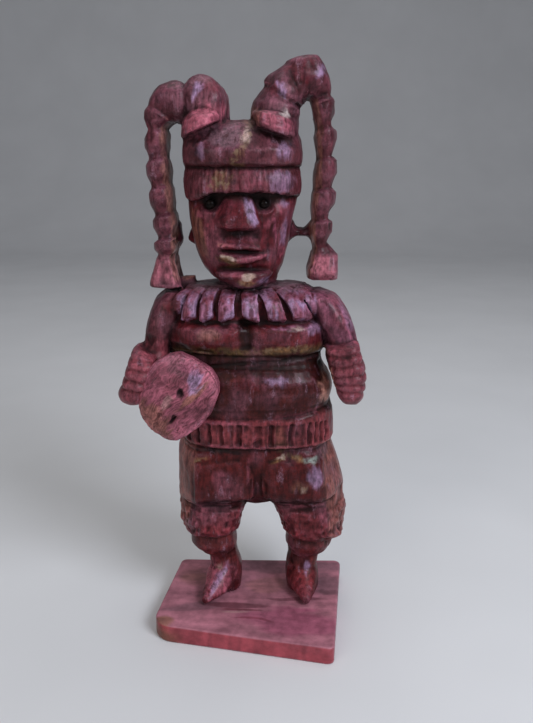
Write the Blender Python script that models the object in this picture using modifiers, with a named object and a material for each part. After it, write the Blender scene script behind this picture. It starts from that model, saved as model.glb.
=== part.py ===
"""Fetish carving: a small standing figure carved in purple spiny oyster shell, on a separate slab plinth.

Metres, +Z up. The figure faces -Y, and the origin is the middle of the plinth's underside. The figure is a free
form: it is drawn at one height, in drawing millimetres above the ground, and scales with FIGURE_HEIGHT. The
plinth, the held disc and the inlaid eyes have sizes of their own.
"""

import math

import bmesh
import bpy
import numpy as np
from mathutils import Matrix

# Driving sizes, in metres
FIGURE_HEIGHT = 0.0770
PLINTH_WIDTH = 0.0290
PLINTH_DEPTH = 0.0232
PLINTH_THICKNESS = 0.0027
PLINTH_LEFT_LEAN = 0.0026
PLINTH_RIGHT_LEAN = 0.0030
PLINTH_FRONT_SKEW = 0.0056
PLINTH_BACK_SKEW = 0.0004
PLINTH_CORNER_RADIUS = 0.0009
PLINTH_WORN_CORNER_RADIUS = 0.0032
PLINTH_EDGE_ROUNDING = 0.0003
FIGURE_SET_BACK = 0.0038
FIGURE_SET_RIGHT = 0.0006
DISC_WIDTH = 0.0112
DISC_HEIGHT = 0.0130
DISC_THICKNESS = 0.0044
DISC_RIM = 0.0020
DISC_FACET = 0.0018
EYE_DIAMETER = 0.0015
EYE_DEPTH = 0.0010
PIECE_GAP = 0.0003

# The drawing that the figure is scaled from: its soles and its height, in drawing millimetres
DRAWN_SOLE = 3.0
DRAWN_HEIGHT = 77.0
UNIT = FIGURE_HEIGHT / DRAWN_HEIGHT
SOLE_HEIGHT = PLINTH_THICKNESS + PIECE_GAP

# How finely the skins are divided
RINGS_PER_STATION = 2
WELD_DISTANCE = 0.00002

# Sweep stations: across, depth place, height, half width, front depth, back depth, squareness (2 is an ellipse)
TORSO = (
    (0.5, 0.0, 25.0, 10.4, 5.2, 5.0, 2.4),
    (0.5, 0.0, 30.0, 10.9, 5.6, 5.4, 2.5),
    (0.1, 0.0, 32.6, 11.0, 6.3, 5.8, 2.5),
    (-0.2, 0.0, 34.8, 11.4, 7.2, 6.4, 2.5),
    (-0.5, 0.0, 37.4, 11.0, 7.4, 6.4, 2.5),
    (-0.9, 0.0, 39.4, 10.4, 6.8, 6.0, 2.5),
    (-1.1, 0.0, 40.8, 10.1, 5.7, 5.4, 2.6),
    (-1.2, 0.0, 41.8, 10.6, 6.3, 5.8, 2.6),
    (-1.2, 0.0, 43.0, 11.0, 7.1, 6.1, 2.7),
    (-1.3, 0.0, 45.0, 10.8, 7.2, 6.1, 2.7),
    (-1.3, 0.0, 46.0, 10.3, 6.5, 5.8, 2.7),
    (-1.2, 0.0, 49.2, 9.7, 5.2, 4.9, 2.6),
    (-1.2, 0.0, 50.2, 8.6, 3.8, 3.8, 2.5),
)
HEAD = (
    (-0.4, 0.3, 50.4, 2.6, 4.2, 4.0, 2.2),
    (-0.9, 0.1, 51.6, 4.7, 5.6, 4.8, 2.3),
    (-1.3, 0.0, 53.4, 5.8, 6.1, 5.4, 2.4),
    (-1.7, 0.0, 56.0, 6.5, 6.2, 5.9, 2.6),
    (-1.8, 0.0, 59.0, 7.0, 6.1, 6.3, 2.6),
    (-1.8, 0.0, 61.9, 7.3, 5.9, 6.5, 2.6),
    (-1.8, 0.0, 62.4, 7.7, 6.8, 6.5, 2.6),
    (-1.8, 0.0, 65.6, 7.8, 7.0, 6.6, 2.6),
    (-1.8, 0.0, 66.1, 7.6, 6.7, 6.7, 2.6),
    (-1.8, 0.0, 67.6, 8.0, 7.7, 7.1, 2.6),
    (-1.8, 0.0, 69.2, 7.6, 6.8, 6.6, 2.6),
    (-1.8, 0.0, 70.6, 6.8, 5.4, 5.8, 2.5),
    (-1.9, 0.0, 71.8, 5.4, 4.2, 4.6, 2.3),
)
NECK = (
    (-1.0, 0.2, 46.0, 4.2, 4.0, 4.0, 2.0),
    (-1.2, 0.2, 50.5, 3.9, 3.8, 3.8, 2.0),
    (-1.5, 0.2, 55.0, 4.2, 4.0, 4.0, 2.0),
)
NOSE = (
    (-2.3, -5.4, 62.6, 0.5, 1.0, 1.0, 2.0),
    (-2.2, -5.8, 61.0, 0.9, 1.3, 1.2, 2.0),
    (-1.9, -6.1, 59.2, 1.8, 2.0, 1.4, 2.2),
    (-1.8, -5.9, 58.2, 2.2, 1.7, 1.2, 2.2),
    (-1.8, -5.6, 57.7, 1.5, 0.9, 0.9, 2.0),
)
LIPS = (
    (-4.4, -5.6, 55.3, 0.4, 0.6, 0.6, 2.0),
    (-3.2, -6.0, 55.2, 1.0, 0.9, 0.9, 2.0),
    (-1.6, -6.1, 55.3, 1.3, 1.1, 0.9, 2.0),
    (0.0, -6.0, 55.2, 1.0, 0.9, 0.9, 2.0),
    (1.2, -5.6, 55.3, 0.4, 0.6, 0.6, 2.0),
)
LEFT_HORN = (
    (-5.9, 0.4, 69.9, 2.9, 6.9, 5.4, 2.8),
    (-6.2, 0.4, 71.8, 3.1, 6.7, 5.4, 2.7),
    (-7.0, 0.4, 73.7, 3.1, 5.9, 5.0, 2.6),
    (-8.7, 0.4, 74.3, 3.0, 5.2, 4.6, 2.6),
    (-10.9, 0.4, 73.4, 2.5, 4.8, 4.4, 2.6),
    (-12.5, 0.4, 71.6, 2.0, 4.4, 4.2, 2.7),
    (-12.9, 0.4, 70.0, 1.8, 4.0, 4.0, 2.7),
    (-12.9, 0.4, 66.0, 1.7, 3.9, 3.9, 2.8),
    (-12.6, 0.4, 61.0, 1.7, 3.8, 3.8, 2.8),
    (-12.1, 0.4, 58.0, 1.6, 3.5, 3.5, 2.8),
    (-12.0, 0.4, 54.4, 1.4, 3.2, 3.2, 2.6),
    (-12.1, 0.4, 52.6, 1.8, 3.5, 3.5, 2.8),
    (-12.3, 0.4, 50.3, 2.3, 3.8, 3.8, 3.4),
)
RIGHT_HORN = (
    (2.2, 0.4, 69.9, 3.1, 6.9, 5.4, 2.8),
    (2.5, 0.4, 72.0, 3.3, 6.7, 5.4, 2.7),
    (3.6, 0.4, 74.4, 3.2, 5.9, 5.0, 2.6),
    (5.3, 0.4, 76.3, 3.1, 5.2, 4.6, 2.6),
    (7.2, 0.4, 76.8, 3.1, 4.8, 4.4, 2.6),
    (8.3, 0.4, 75.4, 2.4, 4.4, 4.2, 2.7),
    (8.8, 0.4, 72.6, 1.6, 4.0, 4.0, 2.7),
    (9.4, 0.4, 67.0, 1.5, 3.9, 3.9, 2.8),
    (9.2, 0.4, 61.5, 1.6, 3.8, 3.8, 2.8),
    (8.8, 0.4, 58.6, 1.4, 3.5, 3.5, 2.8),
    (8.9, 0.4, 55.6, 1.2, 3.2, 3.2, 2.6),
    (9.5, 0.4, 54.3, 1.9, 3.4, 3.4, 3.2),
    (9.5, 0.4, 51.2, 2.0, 3.7, 3.7, 3.8),
)
LEFT_ARM = (
    (-10.6, 0.4, 49.4, 2.2, 3.0, 3.0, 2.3),
    (-11.7, 0.3, 47.8, 2.5, 3.6, 3.6, 2.4),
    (-12.6, 0.0, 45.6, 2.4, 3.8, 3.6, 2.5),
    (-13.2, -0.6, 43.4, 2.1, 3.8, 3.4, 2.5),
    (-13.8, -1.6, 41.4, 2.0, 3.6, 3.2, 2.5),
    (-14.6, -3.0, 39.6, 2.1, 3.6, 3.2, 2.6),
)
LEFT_HAND = (
    (-14.4, -4.2, 41.2, 1.5, 2.6, 3.0, 2.6),
    (-15.2, -4.7, 39.8, 1.9, 3.2, 3.4, 2.8),
    (-16.1, -4.9, 37.6, 2.0, 3.3, 3.4, 2.8),
    (-16.8, -4.9, 35.8, 1.9, 3.0, 3.2, 2.8),
    (-17.1, -4.8, 34.8, 1.4, 2.2, 2.4, 2.4),
)
RIGHT_ARM = (
    (7.6, 0.4, 49.6, 2.0, 3.0, 3.0, 2.3),
    (9.3, 0.3, 48.4, 2.4, 3.6, 3.6, 2.4),
    (10.7, 0.0, 46.0, 2.4, 3.8, 3.6, 2.5),
    (11.7, -0.6, 43.4, 2.3, 3.8, 3.4, 2.5),
    (12.4, -1.6, 41.0, 2.2, 3.6, 3.2, 2.5),
    (12.9, -2.6, 38.6, 1.9, 3.2, 2.8, 2.4),
)
RIGHT_HAND = (
    (12.1, -4.2, 42.4, 2.1, 2.4, 3.0, 2.8),
    (12.3, -4.6, 41.4, 2.4, 2.9, 3.4, 2.9),
    (12.7, -4.8, 39.0, 2.2, 3.0, 3.2, 2.8),
    (13.1, -4.8, 36.6, 1.8, 2.7, 3.0, 2.6),
    (13.2, -4.7, 34.9, 1.2, 1.8, 2.0, 2.2),
)
LEFT_BREECH = (
    (-4.2, 0.2, 28.6, 5.6, 5.0, 4.8, 2.6),
    (-5.2, 0.2, 26.4, 6.2, 6.0, 5.6, 2.7),
    (-5.4, 0.2, 22.4, 6.2, 6.6, 6.0, 2.6),
    (-5.9, 0.2, 19.2, 5.2, 6.3, 5.8, 2.6),
    (-6.5, 0.2, 17.9, 4.4, 5.4, 5.2, 2.6),
    (-6.7, 0.2, 16.6, 4.5, 5.8, 5.4, 2.7),
    (-6.9, 0.2, 14.4, 4.1, 5.4, 5.0, 2.7),
    (-6.7, 0.2, 13.0, 3.3, 4.4, 4.2, 2.5),
)
RIGHT_BREECH = (
    (5.4, 0.2, 28.6, 5.6, 5.0, 4.8, 2.6),
    (6.3, 0.2, 26.4, 6.2, 6.0, 5.6, 2.7),
    (6.9, 0.2, 22.4, 6.2, 6.6, 6.0, 2.6),
    (7.4, 0.2, 19.2, 5.9, 6.3, 5.8, 2.6),
    (8.0, 0.2, 17.9, 5.1, 5.4, 5.2, 2.6),
    (8.4, 0.2, 16.6, 5.2, 5.8, 5.4, 2.7),
    (8.7, 0.2, 14.2, 4.6, 5.4, 5.0, 2.7),
    (8.4, 0.2, 12.8, 3.5, 4.4, 4.2, 2.5),
)
HIPS = (
    (0.9, 0.2, 18.8, 1.4, 3.0, 3.0, 2.0),
    (0.8, 0.2, 19.8, 4.4, 4.8, 4.6, 2.3),
    (0.7, 0.2, 22.0, 7.6, 5.7, 5.4, 2.5),
    (0.6, 0.2, 28.6, 9.8, 5.4, 5.2, 2.5),
)
LEFT_CALF = (
    (-6.4, 0.2, 15.0, 2.9, 3.2, 3.2, 2.3),
    (-6.2, 0.2, 11.2, 3.3, 3.6, 3.4, 2.3),
    (-5.1, 0.4, 8.6, 2.4, 2.7, 2.8, 2.3),
    (-4.7, 0.4, 6.4, 2.5, 2.7, 2.8, 2.4),
    (-4.9, 0.2, 4.6, 2.8, 3.0, 2.8, 2.5),
    (-5.0, 0.2, DRAWN_SOLE - 0.4, 2.7, 2.8, 2.6, 2.6),
)
RIGHT_CALF = (
    (8.0, 0.2, 15.0, 2.9, 3.2, 3.2, 2.3),
    (7.9, 0.2, 11.2, 3.4, 3.6, 3.4, 2.3),
    (7.4, 0.4, 8.6, 2.6, 2.7, 2.8, 2.3),
    (7.0, 0.4, 6.4, 2.4, 2.7, 2.8, 2.4),
    (7.1, 0.2, 4.6, 2.6, 3.0, 2.8, 2.5),
    (7.2, 0.2, DRAWN_SOLE - 0.4, 2.5, 2.8, 2.6, 2.6),
)
# Boots run forward from the heel: here the two half depths are how far the boot reaches below and above
LEFT_BOOT = (
    (-4.4, 2.6, 4.3, 1.8, 1.7, 1.5, 2.8),
    (-4.9, 0.6, 4.7, 2.4, 2.1, 1.9, 2.8),
    (-5.9, -1.8, 4.4, 2.2, 1.8, 1.6, 2.6),
    (-6.7, -3.8, 3.9, 1.5, 1.3, 1.1, 2.4),
    (-7.2, -5.2, 3.5, 0.5, 0.8, 0.6, 2.0),
)
RIGHT_BOOT = (
    (7.2, 2.6, 4.3, 1.8, 1.7, 1.5, 2.8),
    (7.3, 0.6, 4.7, 2.3, 2.1, 1.9, 2.8),
    (7.4, -1.8, 4.4, 2.1, 1.8, 1.6, 2.6),
    (7.5, -3.8, 3.9, 1.5, 1.3, 1.1, 2.4),
    (7.5, -5.6, 3.5, 0.5, 0.8, 0.6, 2.0),
)

# Belt: a fluted band round the hips
BELT_MIDDLE = (0.5, 0.1)
BELT_HALF_WIDTH = 11.4
BELT_HALF_DEPTH = 7.0
BELT_BOTTOM = 28.0
BELT_TOP = 32.3
BELT_SQUARENESS = 2.4
BELT_LIP = 0.5
BELT_FLUTES = 24
FLUTE_DEPTH = 0.7
FLUTE_FULLNESS = 0.8
POINTS_PER_FLUTE = 3

# Collar: petals that lie on the torso's skin, from the neckline out and down to their tips
COLLAR_PETALS = 18
COLLAR_FRONT_ACROSS = -0.3
COLLAR_TOP = 50.0
COLLAR_TIP = 46.3
PETAL_SIDES = 6
PETAL_STEPS = (0.0, 0.6, 1.0)
PETAL_SHARES = (0.62, 0.96, 1.05)
PETAL_HALF_WIDTH = (0.65, 1.15, 0.70)
PETAL_HALF_THICKNESS = (0.6, 1.00, 0.55)

# Plait lobes and finger ridges, and how many rings carry them
LOBE_PITCH = 4.1
LOBE_DEPTH = 0.62
LOBE_LEAN = 0.7
LOBE_LEVEL = 0.55
LOBE_FADE = 1.0
LOBES_FROM = 55.5
LOBES_TO = 74.5
LOBE_SHIFT_LEFT = 0.15
LOBE_SHIFT_RIGHT = 0.75
HORN_RINGS = 34
RIDGE_PITCH = 1.75
RIDGE_DEPTH = 0.28
HAND_RINGS = 14

# Chest cleft: a notch cut down the middle of the chest rolls
CLEFT_MIDDLE = (-1.0, -7.0, 44.2)
CLEFT_SIZE = (1.7, 1.6, 3.4)
CLEFT_TURN = math.radians(45.0)

# Web that still joins the right plait to the cheek, and the stubs of the broken one on the left: from, to, height
WEBS = ((4.6, 8.6, 57.0), (-9.4, -8.3, 56.8), (-11.6, -10.5, 56.8))
WEB_FRONT = -0.4
WEB_BACK = 3.4
WEB_TALL = 1.0

# Eyes: drawn places, and how much of each stands out of the face
EYE_ACROSS = (-5.75, 1.15)
EYE_HEIGHT = 61.0
EYE_PROUD_SHARE = 0.3
EYE_SEGMENTS = 10

# The held disc: its drawn middle, and its turn and tilt on the hip
DISC_MIDDLE = (-10.1, -7.4, 36.5)
DISC_TURN = math.radians(-8.0)
DISC_TILT = math.radians(-3.0)
DISC_SIDES = 24

# The forms that are joined to the torso, with the points in a ring of each
TORSO_POINTS = 20
LEVEL_FORMS = {
    "head": (HEAD, 20),
    "neck": (NECK, 10),
    "nose": (NOSE, 8),
    "left arm": (LEFT_ARM, 10),
    "right arm": (RIGHT_ARM, 10),
    "hips": (HIPS, 12),
    "left breech": (LEFT_BREECH, 14),
    "right breech": (RIGHT_BREECH, 14),
    "left calf": (LEFT_CALF, 10),
    "right calf": (RIGHT_CALF, 10),
}
BENT_POINTS = 10
LIP_POINTS = 8

# Colours and finish, from the shell: base colour, roughness
FINISHES = {
    "shell_maroon": ((0.115, 0.022, 0.036), 0.28),
    "shell_pink": ((0.330, 0.120, 0.170), 0.32),
    "shell_plinth": ((0.300, 0.085, 0.110), 0.34),
    "jet": ((0.006, 0.005, 0.006), 0.15),
}


def material(name):
    """A Principled material with the finish of that name."""
    colour, roughness = FINISHES[name]
    found = bpy.data.materials.new(name)
    found.use_nodes = True
    shader = found.node_tree.nodes["Principled BSDF"]
    shader.inputs["Base Color"].default_value = (*colour, 1.0)
    shader.inputs["Roughness"].default_value = roughness
    shader.inputs["Metallic"].default_value = 0.0
    found.diffuse_color = (*colour, 1.0)
    return found


def new_collection(name):
    """An empty collection in the scene."""
    group = bpy.data.collections.new(name)
    bpy.context.scene.collection.children.link(group)
    return group


def placed(points):
    """Drawing millimetres to metres, on the plinth and set back from its middle."""
    points = np.asarray(points, float)
    moved = points * UNIT
    moved[..., 0] += FIGURE_SET_RIGHT
    moved[..., 1] += FIGURE_SET_BACK
    moved[..., 2] += SOLE_HEIGHT - DRAWN_SOLE * UNIT
    return moved


def smooth_rows(stations, count=None):
    """The stations read off a monotone cubic along their own run, so that no form swells past its sizes.

    With a count the rings are spaced evenly along the run, and without one evenly between the stations.
    """
    rows = np.asarray(stations, float)
    run = np.concatenate([[0.0], np.cumsum(np.linalg.norm(np.diff(rows[:, :3], axis=0), axis=1))])
    slopes = np.diff(rows, axis=0) / np.diff(run)[:, None]
    ends = np.vstack([slopes[:1], slopes, slopes[-1:]])
    before, after = ends[:-1], ends[1:]
    same_way = before * after > 0
    total = np.where(same_way, before + after, 1.0)
    tangent = np.where(same_way, 2.0 * before * after / total, 0.0)
    tangent[0], tangent[-1] = slopes[0], slopes[-1]
    between = np.linspace(0, len(run) - 1, (len(run) - 1) * RINGS_PER_STATION + 1)
    at = np.interp(between, np.arange(len(run)), run) if count is None else np.linspace(0, run[-1], count)
    piece = np.clip(np.searchsorted(run, at, side="right") - 1, 0, len(run) - 2)
    length = (run[piece + 1] - run[piece])[:, None]
    t = ((at - run[piece])[:, None]) / length
    value = rows[piece] * (2 * t**3 - 3 * t**2 + 1) + rows[piece + 1] * (3 * t**2 - 2 * t**3)
    value += length * (tangent[piece] * (t**3 - 2 * t**2 + t) + tangent[piece + 1] * (t**3 - t**2))
    return value, at


def sweep(stations, around, relief=None, rings=None, level=False, forward=False):
    """Rings of superellipses along the stations, as an array of rings by points, in drawing millimetres.

    The rings stand square to the run in the XZ plane, or lie level, or for a forward run stand square to it in
    the XY plane. Relief adds a distance along each ring's own outward direction.
    """
    rows, run = smooth_rows(stations, rings)
    count = len(rows)
    middle = rows[:, :3]
    tangent = np.gradient(middle, axis=0)
    if forward:
        side = np.stack([tangent[:, 1], -tangent[:, 0], np.zeros(count)], axis=1)
        depth = np.tile([0.0, 0.0, 1.0], (count, 1))
    else:
        side = np.stack([-tangent[:, 2], np.zeros(count), tangent[:, 0]], axis=1)
        depth = np.tile([0.0, 1.0, 0.0], (count, 1))
    if level:
        side = np.tile([1.0, 0.0, 0.0], (count, 1))
    side /= np.linalg.norm(side, axis=1)[:, None]
    angle = np.linspace(0, 2 * math.pi, around, endpoint=False)[None, :]
    power = 2.0 / rows[:, 6:7]
    across = np.sign(np.cos(angle)) * np.abs(np.cos(angle)) ** power
    along_depth = np.sign(np.sin(angle)) * np.abs(np.sin(angle)) ** power
    half_depth = np.where(along_depth < 0, rows[:, 4:5], rows[:, 5:6])
    out = np.stack([across * rows[:, 3:4], along_depth * half_depth], axis=2)
    if relief is not None:
        outward = out / np.maximum(np.linalg.norm(out, axis=2, keepdims=True), 1e-9)
        out = out + outward * relief(rows, run, angle)[..., None]
    return middle[:, None, :] + out[..., :1] * side[:, None, :] + out[..., 1:] * depth[:, None, :]


def skin(name, rings, group, wire=True):
    """A closed mesh through the rings, with a fan at each end, as an object of the group."""
    count, around = rings.shape[:2]
    points = placed(rings.reshape(-1, 3))
    mesh = bpy.data.meshes.new(name)
    form = bmesh.new()
    verts = [form.verts.new(point) for point in points]
    for ring in range(count - 1):
        for step in range(around):
            a = ring * around + step
            b = ring * around + (step + 1) % around
            form.faces.new((verts[a], verts[b], verts[b + around], verts[a + around]))
    for first in (0, (count - 1) * around):
        hub = form.verts.new(points[first : first + around].mean(axis=0))
        for step in range(around):
            form.faces.new((verts[first + step], verts[first + (step + 1) % around], hub))
    bmesh.ops.recalc_face_normals(form, faces=form.faces)
    bmesh.ops.triangulate(form, faces=form.faces)
    form.to_mesh(mesh)
    form.free()
    return new_object(name, mesh, group, wire)


def new_object(name, mesh, group, wire=False):
    """An object of the group; a wire one is only a form or a cutter, which the build leaves out."""
    thing = bpy.data.objects.new(name, mesh)
    group.objects.link(thing)
    if wire:
        thing.hide_render = True
        thing.display_type = "WIRE"
    return thing


def plait_lobes(shift):
    """Relief for a plait: each lobe swells soon after its pinch and runs off slowly, and fades on the horn."""

    def relief(rows, run, angle):
        height = rows[:, 2:3]
        cycle = ((LOBES_TO - height) / LOBE_PITCH + shift) % 1.0
        swell = np.sin(math.pi * cycle**LOBE_LEAN) - LOBE_LEVEL
        fade_above = np.clip((LOBES_TO - height) / LOBE_FADE + 1.0, 0.0, 1.0)
        fade_below = np.clip((height - LOBES_FROM) / LOBE_FADE, 0.0, 1.0)
        return LOBE_DEPTH * swell * fade_above * fade_below + np.zeros_like(angle)

    return relief


def finger_ridges(rows, run, angle):
    """Relief for a closed hand: a ridge across it for each finger."""
    return RIDGE_DEPTH * np.cos(2 * math.pi * run[:, None] / RIDGE_PITCH) + np.zeros_like(angle)


def belt_rings():
    """The belt: a level ring whose outside is cut into flutes, with a plain lip at its top and bottom."""
    around = BELT_FLUTES * POINTS_PER_FLUTE
    angle = np.linspace(0, 2 * math.pi, around, endpoint=False)
    across = np.sign(np.cos(angle)) * np.abs(np.cos(angle)) ** (2 / BELT_SQUARENESS)
    along = np.sign(np.sin(angle)) * np.abs(np.sin(angle)) ** (2 / BELT_SQUARENESS)
    flutes = FLUTE_DEPTH * (1.0 - np.abs(np.sin(angle * BELT_FLUTES / 2.0)) ** FLUTE_FULLNESS)
    rings = []
    for height, cut in (
        (BELT_BOTTOM, BELT_LIP),
        (BELT_BOTTOM + BELT_LIP, flutes),
        (BELT_TOP - BELT_LIP, flutes),
        (BELT_TOP, BELT_LIP),
    ):
        wide = (BELT_HALF_WIDTH - cut) * across
        deep = (BELT_HALF_DEPTH - cut) * along
        rings.append(np.stack([BELT_MIDDLE[0] + wide, BELT_MIDDLE[1] + deep, np.full(around, height)], axis=1))
    return np.stack(rings)


def torso_ring(height, angle):
    """The point of the torso's skin at a height and an angle round it, from the torso's own stations."""
    rows = np.asarray(TORSO)
    middle, half_width, front, back, square = (
        np.interp(height, rows[:, 2], rows[:, column]) for column in (0, 3, 4, 5, 6)
    )
    across = math.copysign(abs(math.cos(angle)) ** (2 / square), math.cos(angle))
    along = math.copysign(abs(math.sin(angle)) ** (2 / square), math.sin(angle))
    return np.array([middle + half_width * across, (front if along < 0 else back) * along, height])


def petal_turns():
    """The angles of the collar's petals, spaced evenly along the torso's skin from the one at the front."""
    angles = np.linspace(-math.pi / 2, 3 * math.pi / 2, 721)
    ring = np.array([torso_ring((COLLAR_TOP + COLLAR_TIP) / 2, angle) for angle in angles])
    run = np.concatenate([[0.0], np.cumsum(np.linalg.norm(np.diff(ring, axis=0), axis=1))])
    first = COLLAR_FRONT_ACROSS - ring[0, 0]
    places = first + run[-1] * np.arange(COLLAR_PETALS) / COLLAR_PETALS
    return np.interp(places % run[-1], run, angles)


def petal_rings(turn):
    """One petal of the collar: three small ovals that lie on the torso's skin, from the neckline to the tip."""
    angle = np.linspace(0, 2 * math.pi, PETAL_SIDES, endpoint=False)[:, None]
    centre = np.array([TORSO[-1][0], 0.0, 0.0])
    places = []
    for share, step in zip(PETAL_SHARES, PETAL_STEPS):
        skin_point = torso_ring(COLLAR_TOP + (COLLAR_TIP - COLLAR_TOP) * step, turn)
        places.append(centre + (skin_point - centre) * (share, share, 1.0))
    run = places[-1] - places[0]
    side = np.cross(run, (math.cos(turn), math.sin(turn), 0.5))
    side /= np.linalg.norm(side)
    proud = np.cross(side, run)
    proud /= np.linalg.norm(proud)
    return np.stack([
        place + np.cos(angle) * wide * side + np.sin(angle) * thick * proud
        for place, wide, thick in zip(places, PETAL_HALF_WIDTH, PETAL_HALF_THICKNESS)
    ])


def box(name, middle, size, group, turn=0.0):
    """A box in metres, turned about the vertical, as a form or a cutter."""
    mesh = bpy.data.meshes.new(name)
    form = bmesh.new()
    bmesh.ops.create_cube(form, size=1.0)
    bmesh.ops.scale(form, vec=size, verts=form.verts)
    bmesh.ops.rotate(form, matrix=Matrix.Rotation(turn, 3, "Z"), verts=form.verts)
    bmesh.ops.translate(form, vec=middle, verts=form.verts)
    form.to_mesh(mesh)
    form.free()
    return new_object(name, mesh, group, wire=True)


def web_box(name, web, group):
    """A thin bridge of shell, or its stub, between two drawn places at one height."""
    start, end, height = web
    middle = placed(((start + end) / 2, (WEB_FRONT + WEB_BACK) / 2, height))
    return box(name, middle, np.multiply((end - start, WEB_BACK - WEB_FRONT, WEB_TALL), UNIT), group)


def ground_box(name, group):
    """What takes everything below the soles off, so that the figure stands flat."""
    deep = FIGURE_HEIGHT / 10
    return box(name, (0.0, 0.0, SOLE_HEIGHT - deep / 2), (FIGURE_HEIGHT, FIGURE_HEIGHT, deep), group)


def disc_mesh(name, clearance):
    """A thick oval disc with a flat rim, a facet round each face and a flat middle, grown by a clearance."""
    form = bmesh.new()
    bmesh.ops.create_cone(form, cap_ends=True, segments=DISC_SIDES, radius1=0.5, radius2=0.5, depth=1.0)
    bmesh.ops.rotate(form, matrix=Matrix.Rotation(math.pi / 2, 3, "X"), verts=form.verts)
    grown = 2 * clearance
    bmesh.ops.scale(form, vec=(DISC_WIDTH + grown, DISC_RIM + grown, DISC_HEIGHT + grown), verts=form.verts)
    step_out = (DISC_THICKNESS - DISC_RIM) / 2
    for face in [face for face in form.faces if len(face.verts) == DISC_SIDES]:
        bmesh.ops.inset_individual(form, faces=[face], thickness=DISC_FACET)
        for vert in face.verts:
            vert.co.y += math.copysign(step_out, vert.co.y)
    turn = Matrix.Rotation(DISC_TURN, 3, "Z") @ Matrix.Rotation(DISC_TILT, 3, "X")
    bmesh.ops.rotate(form, matrix=turn, verts=form.verts)
    bmesh.ops.translate(form, vec=placed(DISC_MIDDLE), verts=form.verts)
    bmesh.ops.triangulate(form, faces=form.faces)
    mesh = bpy.data.meshes.new(name)
    form.to_mesh(mesh)
    form.free()
    return mesh


def face_front(across, height):
    """How far forward the head's skin lies at a drawn place, from the head's own stations."""
    rows = np.asarray(HEAD)
    middle, depth_place, half_width, front, square = (
        np.interp(height, rows[:, 2], rows[:, column]) for column in (0, 1, 3, 4, 6)
    )
    share = abs(across - middle) / half_width
    return depth_place - front * (1 - share**square) ** (1 / square)


def eye_mesh(name, across, clearance):
    """A short round peg with a domed front, let into the face."""
    surface = placed((across, face_front(across, EYE_HEIGHT), EYE_HEIGHT))
    middle = surface + np.array([0.0, EYE_DEPTH / 2 * (1 - 2 * EYE_PROUD_SHARE), 0.0])
    form = bmesh.new()
    bmesh.ops.create_uvsphere(form, u_segments=EYE_SEGMENTS, v_segments=EYE_SEGMENTS // 2, radius=0.5)
    grown = 2 * clearance
    size = (EYE_DIAMETER + grown, EYE_DEPTH + grown, EYE_DIAMETER + grown)
    bmesh.ops.scale(form, vec=size, verts=form.verts)
    bmesh.ops.translate(form, vec=middle, verts=form.verts)
    bmesh.ops.triangulate(form, faces=form.faces)
    mesh = bpy.data.meshes.new(name)
    form.to_mesh(mesh)
    form.free()
    return mesh


def rounded_outline(corners, radii, steps=5):
    """The corners of a flat outline, each replaced by an arc of its own radius."""
    points = []
    for index, (corner, radius) in enumerate(zip(corners, radii)):
        before = np.subtract(corners[index - 1], corner)
        after = np.subtract(corners[(index + 1) % len(corners)], corner)
        before, after = before / np.linalg.norm(before), after / np.linalg.norm(after)
        half = math.acos(float(before @ after)) / 2
        middle = (before + after) / np.linalg.norm(before + after)
        centre = np.asarray(corner) + middle * radius / math.sin(half)
        start = np.asarray(corner) + before * radius / math.tan(half) - centre
        end = np.asarray(corner) + after * radius / math.tan(half) - centre
        for share in np.linspace(0, 1, steps):
            arm = start * (1 - share) + end * share
            points.append(centre + arm / np.linalg.norm(arm) * radius)
    return points


def make_plinth(group):
    """The hand-cut slab: four sides, none quite square, with one worn corner, as an extruded flat outline."""
    half_width, half_depth = PLINTH_WIDTH / 2, PLINTH_DEPTH / 2
    corners = (
        (-half_width + PLINTH_LEFT_LEAN, half_depth),
        (-half_width, -half_depth + PLINTH_FRONT_SKEW),
        (half_width - PLINTH_RIGHT_LEAN, -half_depth),
        (half_width, half_depth - PLINTH_BACK_SKEW),
    )
    radii = (PLINTH_CORNER_RADIUS, PLINTH_WORN_CORNER_RADIUS, PLINTH_CORNER_RADIUS, PLINTH_CORNER_RADIUS)
    outline = rounded_outline(corners, radii)
    curve = bpy.data.curves.new("plinth", "CURVE")
    curve.dimensions = "2D"
    curve.fill_mode = "BOTH"
    curve.extrude = PLINTH_THICKNESS / 2
    spline = curve.splines.new("POLY")
    spline.points.add(len(outline) - 1)
    for point, place in zip(spline.points, outline):
        point.co = (*place, 0.0, 1.0)
    spline.use_cyclic_u = True
    plinth = bpy.data.objects.new("plinth", curve)
    group.objects.link(plinth)
    plinth.location.z = PLINTH_THICKNESS / 2
    weld = plinth.modifiers.new("joined caps", "WELD")
    weld.merge_threshold = WELD_DISTANCE
    rounding = plinth.modifiers.new("rounded edges", "BEVEL")
    rounding.width = PLINTH_EDGE_ROUNDING
    rounding.segments = 2
    rounding.limit_method = "ANGLE"
    rounding.angle_limit = math.radians(60.0)
    return plinth


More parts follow.
